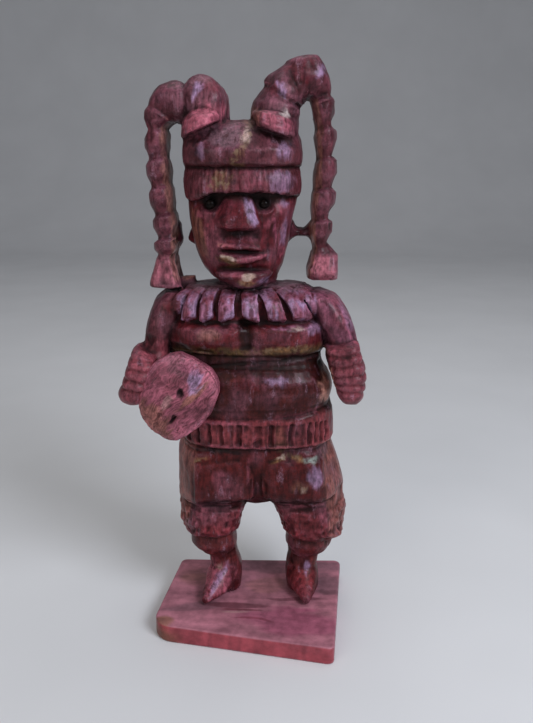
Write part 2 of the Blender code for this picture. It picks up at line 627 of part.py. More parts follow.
def make_figure(group, forms, cutters):
    """The figure: its forms joined into one solid, then seated for the disc, the eyes and the plinth."""
    figure = skin("figure", sweep(TORSO, TORSO_POINTS, level=True), group, wire=False)
    for name, (stations, around) in LEVEL_FORMS.items():
        skin(name, sweep(stations, around, level=True), forms)
    bent_forms = {
        "left horn": (LEFT_HORN, plait_lobes(LOBE_SHIFT_LEFT), HORN_RINGS),
        "right horn": (RIGHT_HORN, plait_lobes(LOBE_SHIFT_RIGHT), HORN_RINGS),
        "left hand": (LEFT_HAND, finger_ridges, HAND_RINGS),
        "right hand": (RIGHT_HAND, finger_ridges, HAND_RINGS),
    }
    for name, (stations, relief, rings) in bent_forms.items():
        skin(name, sweep(stations, BENT_POINTS, relief, rings), forms)
    skin("lips", sweep(LIPS, LIP_POINTS), forms)
    for name, stations in (("left boot", LEFT_BOOT), ("right boot", RIGHT_BOOT)):
        skin(name, sweep(stations, BENT_POINTS, forward=True), forms)
    skin("belt", belt_rings(), forms)
    for number, turn in enumerate(petal_turns()):
        skin(f"petal {number}", petal_rings(turn), forms)
    for number, web in enumerate(WEBS):
        web_box(f"web {number}", web, forms)
    ground_box("ground", cutters)
    box("chest cleft", placed(CLEFT_MIDDLE), np.multiply(CLEFT_SIZE, UNIT), cutters, CLEFT_TURN)
    new_object("disc seat", disc_mesh("disc seat", PIECE_GAP), cutters, wire=True)
    for number, across in enumerate(EYE_ACROSS):
        new_object(f"eye socket {number}", eye_mesh("eye socket", across, PIECE_GAP), cutters, wire=True)
    join = figure.modifiers.new("forms joined", "BOOLEAN")
    join.operation = "UNION"
    join.operand_type = "COLLECTION"
    join.collection = forms
    seat = figure.modifiers.new("seats cut", "BOOLEAN")
    seat.operation = "DIFFERENCE"
    seat.operand_type = "COLLECTION"
    seat.collection = cutters
    weld = figure.modifiers.new("slivers closed", "WELD")
    weld.merge_threshold = WELD_DISTANCE
    fill_voids(figure)
    return figure


def fill_voids(thing):
    """Applies the modifiers and keeps only the outer skin, so that no pocket between the forms stays inside."""
    graph = bpy.context.evaluated_depsgraph_get()
    mesh = bpy.data.meshes.new_from_object(thing.evaluated_get(graph))
    form = bmesh.new()
    form.from_mesh(mesh)
    unread = set(form.faces)
    shells = []
    while unread:
        shell = {unread.pop()}
        newest = list(shell)
        while newest:
            plain_edges = [edge for edge in newest.pop().edges if edge.is_manifold]
            near = {face for edge in plain_edges for face in edge.link_faces} & unread
            unread -= near
            shell |= near
            newest.extend(near)
        shells.append(shell)
    outer = max(shells, key=len)
    inner = [face for shell in shells if shell is not outer for face in shell]
    bmesh.ops.delete(form, geom=inner, context="FACES")
    form.to_mesh(mesh)
    form.free()
    thing.modifiers.clear()
    thing.data = mesh


def main():
    """Clears the scene and builds the pieces, each with its own finish."""
    for thing in list(bpy.data.objects):
        bpy.data.objects.remove(thing)
    parts = new_collection("fetish_carving")
    forms = new_collection("forms")
    cutters = new_collection("cutters")
    finishes = {name: material(name) for name in FINISHES}
    pieces = {
        make_figure(parts, forms, cutters): "shell_maroon",
        make_plinth(parts): "shell_plinth",
        new_object("disc", disc_mesh("disc", 0.0), parts): "shell_pink",
    }
    for name, across in zip(("eye_left", "eye_right"), EYE_ACROSS):
        pieces[new_object(name, eye_mesh(name, across, 0.0), parts)] = "jet"
    for piece, finish in pieces.items():
        piece.data.materials.append(finishes[finish])


main()
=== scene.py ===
"""Looks of a small fetish carving: a standing figure of purple spiny oyster shell with two drooping plaits,
a petal collar and a fluted belt, holding an oval disc at its hip, on a pink slab plinth.

The forms are drawn in drawing millimetres, with the soles at DRAWN_SOLE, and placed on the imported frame.
"""

import itertools
import logging
import math
from collections.abc import Callable
from dataclasses import dataclass, field
from enum import Enum

import bpy
import numpy as np
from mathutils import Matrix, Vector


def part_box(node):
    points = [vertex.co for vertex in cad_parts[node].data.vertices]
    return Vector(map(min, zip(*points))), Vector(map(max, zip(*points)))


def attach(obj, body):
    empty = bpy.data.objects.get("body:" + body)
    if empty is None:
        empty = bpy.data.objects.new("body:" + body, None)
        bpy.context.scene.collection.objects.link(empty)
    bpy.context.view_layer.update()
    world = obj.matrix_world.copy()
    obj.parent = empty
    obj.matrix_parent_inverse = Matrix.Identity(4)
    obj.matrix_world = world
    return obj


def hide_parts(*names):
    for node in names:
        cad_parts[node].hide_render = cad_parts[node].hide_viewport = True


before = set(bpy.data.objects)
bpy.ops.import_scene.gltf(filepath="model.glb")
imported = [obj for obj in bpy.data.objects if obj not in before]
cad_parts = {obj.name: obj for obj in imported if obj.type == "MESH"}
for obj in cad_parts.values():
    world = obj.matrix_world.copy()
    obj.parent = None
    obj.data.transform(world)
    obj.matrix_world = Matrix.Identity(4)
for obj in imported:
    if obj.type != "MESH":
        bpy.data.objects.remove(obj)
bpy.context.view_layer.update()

log = logging.getLogger("fetish_carving")

# The drawing and the frame
MILLIMETRE = 0.001
DRAWN_SOLE = 3.0
FIGURE_SET_BACK = 3.8
FIGURE_SET_RIGHT = 0.6
FIGURE_TRIANGLES = 190_000
VOXEL = 0.13

Array = np.ndarray
Row = tuple[float, ...]
Skin = tuple[Array, Array, Array]


class RingPlane(Enum):
    """How a sweep's rings stand: level, square to an upright run, or square to a run that goes forward."""

    LEVEL = "level"
    UPRIGHT = "upright"
    FORWARD = "forward"


@dataclass
class Rings:
    """What a relief can read of a sweep: where each point is and which way it faces.

    Args:
        place: the points before the relief, rings by points by 3, in drawing millimetres.
        run: each ring's distance along the path, rings by 1.
        turn: each point's angle round its ring, 1 by points; 0 is the right, a quarter turn is the back.
        half: each ring's half width, rings by 1.
    """

    place: Array
    run: Array
    turn: Array
    half: Array

    def across_height(self) -> tuple[Array, Array]:
        """Each point's place from left to right, and its height."""
        return self.place[..., 0], self.place[..., 2]

    def front(self, low: float, high: float) -> Array:
        """How far each point faces forward: 0 where the sine of its turn is at low, and 1 at high."""
        return fade(low, high, np.sin(self.turn))


Relief = Callable[[Rings], Array]


def fade(low: float, high: float, value: Array) -> Array:
    """A smooth step from 0 at low to 1 at high.

    Args:
        low: where the step starts.
        high: where it ends; it may lie below low, and the step then falls.
        value: the numbers to read.

    Returns:
        3 t squared less 2 t cubed, t being the share of the way from low to high.
    """
    share = np.clip((value - low) / (high - low), 0.0, 1.0)
    return share * share * (3.0 - 2.0 * share)


def moved(distance: Array, axis: int) -> Array:
    """Moves along one axis: 0 to the right, 1 back, 2 up."""
    return distance[..., None] * np.eye(3)[axis]


def plateau(value: Array, middle: float, half: float, soft: float) -> Array:
    """1 within half of the middle, falling smoothly to 0 over soft on both sides."""
    return 1.0 - fade(half, half + soft, np.abs(value - middle))


def hollow(value: Array, middle: float, width: float) -> Array:
    """A bell: 1 at the middle and about a third one width away."""
    return np.exp(-(((value - middle) / width) ** 2))


def cloud(points: Array, pitch: float | Row, seed: int) -> Array:
    """Smooth noise: random numbers at the corners of boxes with sides of one pitch, blended between them.

    Args:
        points: places, any shape by 3.
        pitch: the boxes' side, or one side for each axis.
        seed: which set of random numbers.

    Returns:
        Numbers from -1 to 1, one for each place.
    """
    place = points / np.asarray(pitch, float) + 31.7 * (seed % 97)
    cell = np.floor(place).astype(np.int64)
    part = place - cell
    weight = part * part * (3.0 - 2.0 * part)
    total = np.zeros(points.shape[:-1])
    for corner in itertools.product((0, 1), repeat=3):
        at = cell + np.array(corner)
        mixed = at[..., 0] * 374761393 + at[..., 1] * 668265263 + at[..., 2] * 2147483647 + seed * 144665
        mixed = (mixed ^ (mixed >> 13)) * 1274126177
        mixed = (mixed ^ (mixed >> 16)) & 0xFFFF
        share = np.prod(np.where(np.array(corner) == 1, weight, 1.0 - weight), axis=-1)
        total += share * (mixed / 32767.5 - 1.0)
    return total


def drift(points: Array, pitch: float, seed: int) -> Array:
    """Smooth noise in three directions, from three sets of random numbers."""
    return np.stack([cloud(points, pitch, seed + axis) for axis in range(3)], axis=-1)


def smooth_rows(stations: tuple[Row, ...], count: int) -> tuple[Array, Array]:
    """Reads the stations off a monotone cubic along their own run, so that no form swells past its sizes.

    Args:
        stations: the rows to read between; the first three numbers of each are its place.
        count: how many rows to give back, evenly spaced along the run.

    Returns:
        The rows, and each one's distance along the run.
    """
    rows = np.asarray(stations, float)
    run = np.concatenate([[0.0], np.cumsum(np.linalg.norm(np.diff(rows[:, :3], axis=0), axis=1))])
    slopes = np.diff(rows, axis=0) / np.diff(run)[:, None]
    ends = np.vstack([slopes[:1], slopes, slopes[-1:]])
    before, after = ends[:-1], ends[1:]
    same_way = before * after > 0
    total = np.where(same_way, before + after, 1.0)
    tangent = np.where(same_way, 2.0 * before * after / total, 0.0)
    tangent[0], tangent[-1] = slopes[0], slopes[-1]
    at = np.linspace(0, run[-1], count)
    piece = np.clip(np.searchsorted(run, at, side="right") - 1, 0, len(run) - 2)
    length = (run[piece + 1] - run[piece])[:, None]
    t = (at - run[piece])[:, None] / length
    value = rows[piece] * (2 * t**3 - 3 * t**2 + 1) + rows[piece + 1] * (3 * t**2 - 2 * t**3)
    value += length * (tangent[piece] * (t**3 - 2 * t**2 + t) + tangent[piece + 1] * (t**3 - t**2))
    return value, at


@dataclass(frozen=True)
class Sweep:
    """A closed form of superelliptic rings carried along its stations, in drawing millimetres.

    Args:
        stations: rows of across, depth place, height, half width, front depth, back depth and squareness.
        plane: how the rings stand.
        step: the distance between rings, and between points round the largest ring.
        warp: moves the points of the plain form, before the relief.
        relief: a distance outwards for each point.
    """

    stations: tuple[Row, ...]
    plane: RingPlane = RingPlane.LEVEL
    step: float = 0.16
    warp: Relief | None = None
    relief: Relief | None = None

    def grid(self) -> Array:
        """Works the form out as a function of two parameters, the run and the turn round the ring.

        Returns:
            Rings by points by 3. A point is the ring's middle, plus its side axis times the half width times
            the cosine raised to 2 over the squareness, plus its depth axis times the half depth times the
            sine raised likewise, plus the relief along the ring's own outward direction.
        """
        rows = np.asarray(self.stations, float)
        length = np.linalg.norm(np.diff(rows[:, :3], axis=0), axis=1).sum()
        rows, run = smooth_rows(self.stations, max(12, math.ceil(length / self.step)))
        girth = math.pi * (rows[:, 3].max() + rows[:, 4:6].max())
        around = max(24, math.ceil(girth / self.step))
        middle = rows[:, :3]
        tangent = np.gradient(middle, axis=0)
        flat = np.zeros(len(rows))
        side = np.stack([-tangent[:, 2], flat, tangent[:, 0]], axis=1)
        depth = np.tile([0.0, 1.0, 0.0], (len(rows), 1))
        if self.plane is RingPlane.FORWARD:
            side = np.stack([tangent[:, 1], -tangent[:, 0], flat], axis=1)
            depth = np.tile([0.0, 0.0, 1.0], (len(rows), 1))
        if self.plane is RingPlane.LEVEL:
            side = np.tile([1.0, 0.0, 0.0], (len(rows), 1))
        side /= np.linalg.norm(side, axis=1)[:, None]
        turn = np.linspace(0, 2 * math.pi, around, endpoint=False)[None, :]
        power = 2.0 / rows[:, 6:7]
        across = np.sign(np.cos(turn)) * np.abs(np.cos(turn)) ** power * rows[:, 3:4]
        half_depth = np.where(np.sin(turn) < 0, rows[:, 4:5], rows[:, 5:6])
        along = np.sign(np.sin(turn)) * np.abs(np.sin(turn)) ** power * half_depth
        out = across[..., None] * side[:, None, :] + along[..., None] * depth[:, None, :]
        place = middle[:, None, :] + out
        rings = Rings(place, run[:, None], turn, rows[:, 3:4])
        if self.warp is not None:
            place = place + self.warp(rings)
            rings = Rings(place, run[:, None], turn, rows[:, 3:4])
        if self.relief is not None:
            outward = out / np.maximum(np.linalg.norm(out, axis=2, keepdims=True), 1e-9)
            place = place + outward * self.relief(rings)[..., None]
        return place

    def skin(self) -> Skin:
        """The closed mesh through the grid, with a fan at each end."""
        return grid_skin(self.grid())


def grid_skin(grid: Array) -> Skin:
    """Closes a grid of rings into a mesh: a four-sided face between neighbours, and a fan at each end.

    Args:
        grid: rings by points by 3.

    Returns:
        The points, the four-sided faces and the triangles.
    """
    count, around = grid.shape[:2]
    index = np.arange(count * around).reshape(count, around)
    right = np.roll(index, -1, axis=1)
    quads = np.stack([index[:-1], right[:-1], right[1:], index[1:]], axis=-1).reshape(-1, 4)
    hubs = np.array([count * around, count * around + 1])
    start = np.stack([right[0], index[0], np.full(around, hubs[0])], axis=-1)
    end = np.stack([index[-1], right[-1], np.full(around, hubs[1])], axis=-1)
    points = np.concatenate([grid.reshape(-1, 3), grid[[0, -1]].mean(axis=1)])
    return points, quads, np.concatenate([start, end])


def joined(skins: list[Skin]) -> Skin:
    """Several skins as one list of points and faces.

    Args:
        skins: the skins.

    Returns:
        One skin of them all, whose faces count on through the points.
    """
    starts = np.cumsum([0] + [len(points) for points, _, _ in skins[:-1]])
    return (
        np.concatenate([points for points, _, _ in skins]),
        np.concatenate([quads + start for (_, quads, _), start in zip(skins, starts)]),
        np.concatenate([triangles + start for (_, _, triangles), start in zip(skins, starts)]),
    )


def placed(points: Array) -> Array:
    """Drawing millimetres to metres in the frame: the soles on the CAD figure's soles, set back and right.

    Args:
        points: the places, in drawing millimetres.

    Returns:
        The places scaled and shifted.
    """
    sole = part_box("figure")[0].z
    shift = np.array([FIGURE_SET_RIGHT, FIGURE_SET_BACK, -DRAWN_SOLE]) * MILLIMETRE
    return points * MILLIMETRE + shift + np.array([0.0, 0.0, sole])


def drawn(points: Array) -> Array:
    """Metres in the frame to drawing millimetres."""
    return (points - placed(np.zeros(3))) / MILLIMETRE


def mesh_of(name: str, skin: Skin) -> bpy.types.Mesh:
    """A Blender mesh of a skin that is in metres.

    Args:
        name: its name.
        skin: its points and faces.

    Returns:
        The mesh.
    """
    points, quads, triangles = skin
    mesh = bpy.data.meshes.new(name)
    corners = np.concatenate([quads.reshape(-1), triangles.reshape(-1)]).astype(np.int32)
    sizes = np.concatenate([np.full(len(quads), 4), np.full(len(triangles), 3)])
    starts = np.concatenate([[0], np.cumsum(sizes)[:-1]]).astype(np.int32)
    mesh.vertices.add(len(points))
    mesh.vertices.foreach_set("co", points.astype(np.float32).reshape(-1))
    mesh.loops.add(len(corners))
    mesh.loops.foreach_set("vertex_index", corners)
    mesh.polygons.add(len(starts))
    mesh.polygons.foreach_set("loop_start", starts)
    mesh.update(calc_edges=True)
    mesh.validate()
    return mesh


def read_points(mesh: bpy.types.Mesh) -> Array:
    """The mesh's points, as they are stored.

    Args:
        mesh: the mesh.

    Returns:
        The points, points by 3.
    """
    points = np.empty(len(mesh.vertices) * 3, np.float32)
    mesh.vertices.foreach_get("co", points)
    return points.reshape(-1, 3).astype(float)


def write_points(mesh: bpy.types.Mesh, points: Array) -> None:
    """Moves the mesh's points."""
    mesh.vertices.foreach_set("co", points.astype(np.float32).reshape(-1))
    mesh.update()


def read_normals(mesh: bpy.types.Mesh) -> Array:
    """The mesh's outward directions at its points.

    Args:
        mesh: the mesh.

    Returns:
        Unit directions, points by 3.
    """
    normals = np.empty(len(mesh.vertices) * 3, np.float32)
    mesh.vertex_normals.foreach_get("vector", normals)
    return normals.reshape(-1, 3).astype(float)


def read_edges(mesh: bpy.types.Mesh) -> Array:
    """The mesh's edges, as pairs of point numbers.

    Args:
        mesh: the mesh.

    Returns:
        The pairs, edges by 2.
    """
    ends = np.empty(len(mesh.edges) * 2, np.int32)
    mesh.edges.foreach_get("vertices", ends)
    return ends.reshape(-1, 2)


def spread(edges: Array, values: Array, rounds: int) -> Array:
    """Averages each point's value with its neighbours', a few times over.

    Args:
        edges: pairs of point numbers.
        values: a number or a row of numbers for each point.
        rounds: how many times.

    Returns:
        The values; each time, half of a point's own is kept and half is its neighbours' mean.
    """
    count = len(values)
    near = np.bincount(edges.reshape(-1), minlength=count).astype(float)
    flat = values.reshape(count, -1)
    for _ in range(rounds):
        total = np.stack(
            [
                np.bincount(edges[:, 0], flat[edges[:, 1], column], count)
                + np.bincount(edges[:, 1], flat[edges[:, 0], column], count)
                for column in range(flat.shape[1])
            ],
            axis=1,
        )
        flat = 0.5 * flat + 0.5 * total / np.maximum(near, 1.0)[:, None]
    return flat.reshape(values.shape)


def linked(name: str, data: bpy.types.ID) -> bpy.types.Object:
    """A new object in the scene, at the origin.

    Args:
        name: its name.
        data: its mesh, light or camera.

    Returns:
        The object.
    """
    thing = bpy.data.objects.new(name, data)
    bpy.context.scene.collection.objects.link(thing)
    return thing


def worked(mesh: bpy.types.Mesh, kind: str, **settings: float | str) -> bpy.types.Mesh:
    """The mesh as one modifier leaves it.

    Args:
        mesh: the mesh to work on; it is removed.
        kind: the modifier's kind.
        settings: the modifier's own values.

    Returns:
        The new mesh.
    """
    bench = linked("bench", mesh)
    modifier = bench.modifiers.new(kind.lower(), kind)
    for name, value in settings.items():
        setattr(modifier, name, value)
    graph = bpy.context.evaluated_depsgraph_get()
    done = bpy.data.meshes.new_from_object(bench.evaluated_get(graph))
    bpy.data.objects.remove(bench)
    bpy.data.meshes.remove(mesh)
    return done


def hand_cut(points: Array, normals: Array, share: Array, count: int, deep: float, seed: int) -> Array:
    """Takes shallow flats off the surface, as a wheel leaves them.

    Each cut is the plane through one of the surface's own points, square to it and set a little deep. A point
    moves inwards by the most that any cut near it asks for, and a cut fades out over its reach.

    Args:
        points: the surface, in drawing millimetres.
        normals: its outward directions.
        share: how much of each point's cut is taken, from 0 to 1.
        count: how many cuts.
        deep: how deep they are set.
        seed: which points are cut.

    Returns:
        The moved points.
    """
    reach, deepest, batch = 2.3, 0.30, 30_000
    chosen = np.random.default_rng(seed).choice(np.flatnonzero(share > 0.3), count, replace=False)
    centres, facing = points[chosen].astype(np.float32), normals[chosen].astype(np.float32)
    size, offset = (centres**2).sum(axis=1), (centres * facing).sum(axis=1)
    cut = np.zeros(len(points), np.float32)
    for start in range(0, len(points), batch):
        part = slice(start, start + batch)
        here, out = points[part].astype(np.float32), normals[part].astype(np.float32)
        far = np.sqrt(np.maximum((here**2).sum(axis=1)[:, None] + size - 2 * here @ centres.T, 0.0))
        gap = here @ facing.T - offset + deep
        near = fade(reach, 0.5 * reach, far) * fade(0.70, 0.88, out @ facing.T)
        cut[part] = (np.clip(gap, 0.0, deepest) * near).max(axis=1)
    return points - normals * (cut * share)[:, None]


@dataclass(frozen=True)
class Torso:
    """Chest, belly and hips: a blocky trunk with a chest roll, a deep waist crease and a belly roll."""

    stations: tuple[Row, ...] = (
        (0.5, 0, 25, 10.2, 5.2, 5, 2.5), (0.5, 0, 31, 10.2, 6.3, 5.6, 2.6), (0.2, 0, 33, 10.2, 6.7, 6, 2.7),
        (0, 0, 34.4, 10.7, 7.1, 6.3, 2.8), (-0.15, 0, 36.4, 11.15, 7.45, 6.5, 2.8),
        (-0.45, 0, 37.8, 11.05, 7.4, 6.4, 2.8), (-0.8, 0, 38.8, 10.7, 7, 6.2, 2.8),
        (-1, 0, 39.5, 10.7, 6.6, 5.9, 2.8), (-1.1, 0, 40, 10.6, 6.1, 5.6, 2.8),
        (-1.1, 0, 41.2, 10.7, 6, 5.5, 2.8), (-1.2, 0, 41.8, 10.9, 6.35, 5.8, 2.8),
        (-1.2, 0, 42.7, 11, 6.8, 6.1, 2.9), (-1.3, 0, 43.5, 11, 7.15, 6.2, 3),
        (-1.3, 0, 44.8, 10.9, 7.15, 6.1, 3), (-1.3, 0, 45.3, 10.8, 6.95, 6, 3),
        (-1.3, 0, 45.65, 10.5, 6.4, 5.8, 2.9), (-1.3, 0, 46, 10.25, 5.85, 5.6, 2.8),
        (-1.2, 0, 47.4, 10.1, 5.75, 5.4, 2.7), (-1.2, 0, 49, 9.7, 5.3, 5, 2.6),
        (-1.2, 0, 50, 9, 4.4, 4.4, 2.5), (-1.2, 0, 50.6, 7.6, 3.4, 3.6, 2.4),
    )
    cleft_across: float = -1.15
    cleft_height: float = 44.5
    cleft_width: float = 1.0
    cleft_half_height: float = 1.5
    cleft_depth: float = 0.95
    # Creases: height in the middle, slope to the right, share of the wander, width and depth
    creases: tuple[Row, ...] = (
        (40.6, 0.07, 1, 0.22, 0.30), (41.4, -0.03, 1, 0.15, 0.24), (39.7, -0.02, -1, 0.14, 0.20),
        (33.9, 0.04, 0, 0.22, 0.14),
    )

    def relief(self, rings: Rings) -> Array:
        """The cleft down the chest roll and the creases of the waist and the belly.

        Args:
            rings: the form's points.

        Returns:
            Distances outwards: less the bells of the cleft and the creases, in front.
        """
        across, height = rings.across_height()
        wander = 0.15 * cloud(rings.place, 2.0, 5)
        cleft = hollow(across + wander, self.cleft_across, self.cleft_width)
        cut = self.cleft_depth * cleft * plateau(height, self.cleft_height, self.cleft_half_height, 0.8)
        for middle, slope, way, width, deep in self.creases:
            cut = cut + deep * hollow(height, middle + slope * across + way * wander, width)
        return -rings.front(0.0, -0.4) * cut

    def skins(self) -> list[Skin]:
        """The trunk."""
        return [Sweep(self.stations, relief=self.relief).skin()]


@dataclass(frozen=True)
class Collar:
    """A ruff of tongue-shaped petals that lie on the shoulders and point down and out."""

    front_petals: tuple[Row, ...] = (
        (-8.6, 50.1, -10.4, 46.9, 0.80, 0.85), (-7.1, 50.4, -8.7, 46.4, 0.95, 1),
        (-5.4, 50.4, -6.3, 46.4, 1, 1), (-3.2, 50.3, -3.6, 46.5, 1.15, 1.15),
        (-0.7, 50.2, -0.4, 46.4, 1.15, 1.20), (1.3, 50.3, 3.1, 46.3, 1.10, 1.25),
        (3.4, 50.4, 6.5, 46.2, 1.15, 1.35), (5.4, 50.3, 8.4, 46.5, 1.05, 0.85),
    )
    back_petals: int = 10
    top: float = 50.0
    tip: float = 46.6
    thickness: float = 0.66
    ridge: float = -0.35
    swell: float = 0.95

    def petal(self, root: Array, tip: Array, root_half: float, tip_half: float) -> Skin:
        """One petal: a roof-shaped profile carried from its root to its slanting lower end.

        Args:
            root: where it starts, at the neckline.
            tip: the middle of its lower end.
            root_half: half its width at the root.
            tip_half: half its width at the lower end.

        Returns:
            Its closed skin. Each ring rises from an upright edge to a ridge nearer its left, and falls again.
        """
        run = tip - root
        outward = np.array([0.35 * root[0], root[1], 0.0]) / 6.0 + np.array([0.0, 0.0, 0.55])
        side = np.cross(run, outward)
        side /= np.linalg.norm(side)
        side *= np.sign(side[0]) * np.sign(-root[1])
        proud = np.cross(side, run)
        proud /= np.linalg.norm(proud)
        proud *= np.sign(proud @ outward)
        share = np.linspace(0, 1, 40)[:, None]
        upper = np.linspace(-1, 1, 22)[None, :]
        lower = np.linspace(1, -1, 10)[None, 1:-1]
        taper = np.sqrt(np.clip(1 - np.abs(2 * share - 1) ** 40, 0.02, 1.0))
        wide = (root_half + (tip_half - root_half) * share) * taper
        roof = np.where(upper < self.ridge, (1 + upper) / (1 + self.ridge), (1 - upper) / (1 - self.ridge))
        rise = self.thickness * (0.50 + 0.70 * share) * taper
        off = np.concatenate([wide * upper, wide * lower], axis=1)[..., None]
        up = np.concatenate([rise * (0.42 + 0.58 * roof), rise * (-1.0 + 0.0 * lower)], axis=1)[..., None]
        slant = 0.13 * np.sign(root[0] + 1.0) * off / tip_half * share[..., None] ** 4
        swell = self.swell * (4.0 * share * (1.0 - share))[..., None]
        return grid_skin(root + run * (share[..., None] + slant) + side * off + proud * (up + swell))

    def skins(self, torso: Torso) -> list[Skin]:
        """The petals round the front, listed one by one as they were cut, and an even row round the back.

        Args:
            torso: the trunk that they lie on.

        Returns:
            Their closed skins.
        """
        skins = []
        for root_across, root_height, tip_across, tip_height, root_half, tip_half in self.front_petals:
            root = skin_place(torso.stations, root_across, root_height, -1.0, 0.15)
            tip = skin_place(torso.stations, tip_across, tip_height, -1.0, 0.60)
            skins.append(self.petal(root, tip, root_half, tip_half))
        for step in np.linspace(-1, 1, self.back_petals):
            root = skin_place(torso.stations, -1.2 + 7.2 * step, self.top, 1.0, 0.1)
            tip = skin_place(torso.stations, -1.2 + 9.4 * step, self.tip, 1.0, 0.3)
            skins.append(self.petal(root, tip, 0.95, 0.85))
        return skins


def skin_reach(stations: tuple[Row, ...], across: Array, height: Array, way: float) -> Array:
    """How far in depth a level form's skin lies at places across and up.

    Args:
        stations: the form's stations.
        across: the places from left to right.
        height: their heights.
        way: -1 for the front and 1 for the back.

    Returns:
        The depth place: the middle, plus the way times the half depth times the superellipse's share.
    """
    rows = np.asarray(stations)
    middle, depth, half_width, front, back, square = (
        np.interp(height, rows[:, 2], rows[:, column]) for column in (0, 1, 3, 4, 5, 6)
    )
    share = np.minimum(np.abs(across - middle) / half_width, 0.985)
    return depth + way * (front if way < 0 else back) * (1 - share**square) ** (1 / square)


def skin_place(stations: tuple[Row, ...], across: float, height: float, way: float, proud: float) -> Array:
    """The point a little proud of a level form's skin, at a place across and up, on its front or its back."""
    return np.array([across, float(skin_reach(stations, across, height, way)) + way * proud, height])


@dataclass(frozen=True)
class Head:
    """Skull, face, headband and fringe."""

    skull: tuple[Row, ...] = (
        (-0.5, 0.3, 50.2, 2, 3.4, 3.6, 2.3), (-0.8, 0.1, 50.9, 3.8, 4.4, 4.4, 2.4),
        (-1.4, 0, 52, 4.7, 5.3, 5, 2.5), (-1.65, 0, 53.6, 5.6, 5.8, 5.5, 2.6),
        (-1.8, 0, 56, 6.35, 5.95, 5.9, 2.7), (-1.8, 0, 58.5, 6.8, 5.95, 6.2, 2.8),
        (-1.7, 0, 60.5, 7.1, 5.8, 6.4, 2.8), (-1.6, 0, 62, 7.3, 5.5, 6.5, 2.8),
        (-1.6, 0, 66, 7.6, 6.3, 6.5, 2.7), (-1.8, 0, 70, 6.6, 5, 5.6, 2.6), (-1.8, 0, 71, 5.2, 4, 4.4, 2.5),
        (-1.8, 0, 71.5, 3.6, 2.8, 3, 2.3),
    )
    fringe: tuple[Row, ...] = (
        (-1.55, 0, 61.8, 7.15, 5.4, 6.2, 2.8), (-1.55, 0, 61.9, 7.55, 6.9, 6.4, 2.9),
        (-1.55, 0, 62.5, 7.75, 7.25, 6.5, 2.9), (-1.55, 0, 64, 7.85, 7.2, 6.5, 2.9),
        (-1.55, 0, 65.4, 7.75, 6.9, 6.5, 2.8), (-1.55, 0, 66.2, 7.45, 6.2, 6.4, 2.8),
    )
    band: tuple[Row, ...] = (
        (-1.55, 0, 65.9, 7.25, 6.1, 6.3, 2.7), (-1.55, 0, 66.1, 7.70, 7.1, 6.6, 2.8),
        (-1.55, 0, 66.7, 7.85, 7.6, 6.9, 2.8), (-1.55, 0, 67.9, 7.85, 7.65, 7, 2.8),
        (-1.55, 0, 68.9, 7.75, 7.1, 6.9, 2.8), (-1.55, 0, 69.8, 7.55, 6.4, 6.5, 2.7),
        (-1.65, 0, 70.6, 6.95, 5.7, 6.1, 2.6), (-1.65, 0, 71.3, 6.15, 4.9, 5.2, 2.5),
        (-1.65, 0, 71.8, 4.65, 3.8, 4, 2.3),
    )
    neck: tuple[Row, ...] = (
        (-1, 0.2, 46, 4.2, 4, 4, 2), (-1.2, 0.2, 50.5, 3.9, 3.8, 3.8, 2), (-1.5, 0.2, 55, 4.2, 4, 4, 2),
    )
    nose_rows: tuple[Row, ...] = (
        (62.9, -3.2, -2.5, -1.6, -1.1, -0.9, 5, 5.4), (62.2, -3.8, -2.8, -1.5, -0.5, -0.2, 5.2, 6),
        (61, -4.7, -3.1, -1.3, 0.1, 0.4, 5.4, 6.7), (60, -5.2, -3.4, -1, 0.5, 0.8, 5.5, 7.2),
        (59.2, -5.4, -3.6, -0.7, 0.7, 1.1, 5.5, 7.5), (58.6, -5.1, -3.5, -0.4, 0.7, 1.1, 5.5, 7.5),
        (58.4, -4.6, -3.3, -0.5, 0.5, 0.8, 5.4, 7.1), (58.1, -4, -3, -0.8, 0, 0.3, 5.1, 6),
    )
    upper_lip: tuple[Row, ...] = (
        (-5.3, -4.7, 55.75, 0.18, 0.4, 0.6, 2), (-4, -5.4, 56.05, 0.38, 0.8, 0.8, 2.2),
        (-1.8, -5.6, 56.1, 0.45, 0.9, 0.8, 2.2), (0.3, -5.4, 55.85, 0.38, 0.8, 0.8, 2.2),
        (1.8, -4.7, 55.4, 0.18, 0.4, 0.6, 2),
    )
    lower_lip: tuple[Row, ...] = (
        (-5.2, -4.8, 55.2, 0.2, 0.4, 0.6, 2), (-3.9, -5.5, 54.85, 0.50, 0.9, 0.8, 2.2),
        (-1.7, -5.8, 54.5, 0.66, 1.15, 0.8, 2.2), (0.6, -5.5, 54.75, 0.50, 0.9, 0.8, 2.2),
        (1.9, -4.8, 55.1, 0.2, 0.4, 0.6, 2),
    )
    chin: tuple[Row, ...] = (
        (-1.1, -2.4, 50.1, 0.9, 2, 2, 2.2), (-1.2, -2.9, 50.7, 2.1, 2.6, 2, 2.4),
        (-1.3, -3.3, 51.6, 3.1, 2.9, 2, 2.8), (-1.4, -3.5, 52.3, 3.8, 2.9, 2, 3.2),
        (-1.4, -3.4, 52.7, 3.9, 2.7, 2, 3.4), (-1.4, -3.1, 52.95, 3.4, 2.2, 2, 3),
    )
    eye_places: tuple[Row, ...] = ((-5.6, 61.4), (1.3, 61.4))
    strand_pitch: float = 0.60
    strand_radius: float = 7.4
    # Hollows across the face: depth, height and width of each, then its middle, half length and soft ends
    level_hollows: tuple[Row, ...] = (
        (0.50, 57.5, 0.55, -1.7, 2.1, 0.9), (0.35, 55.45, 0.30, -1.7, 2.4, 0.9),
        (0.55, 53.2, 0.45, -1.5, 2.6, 1.2),
    )
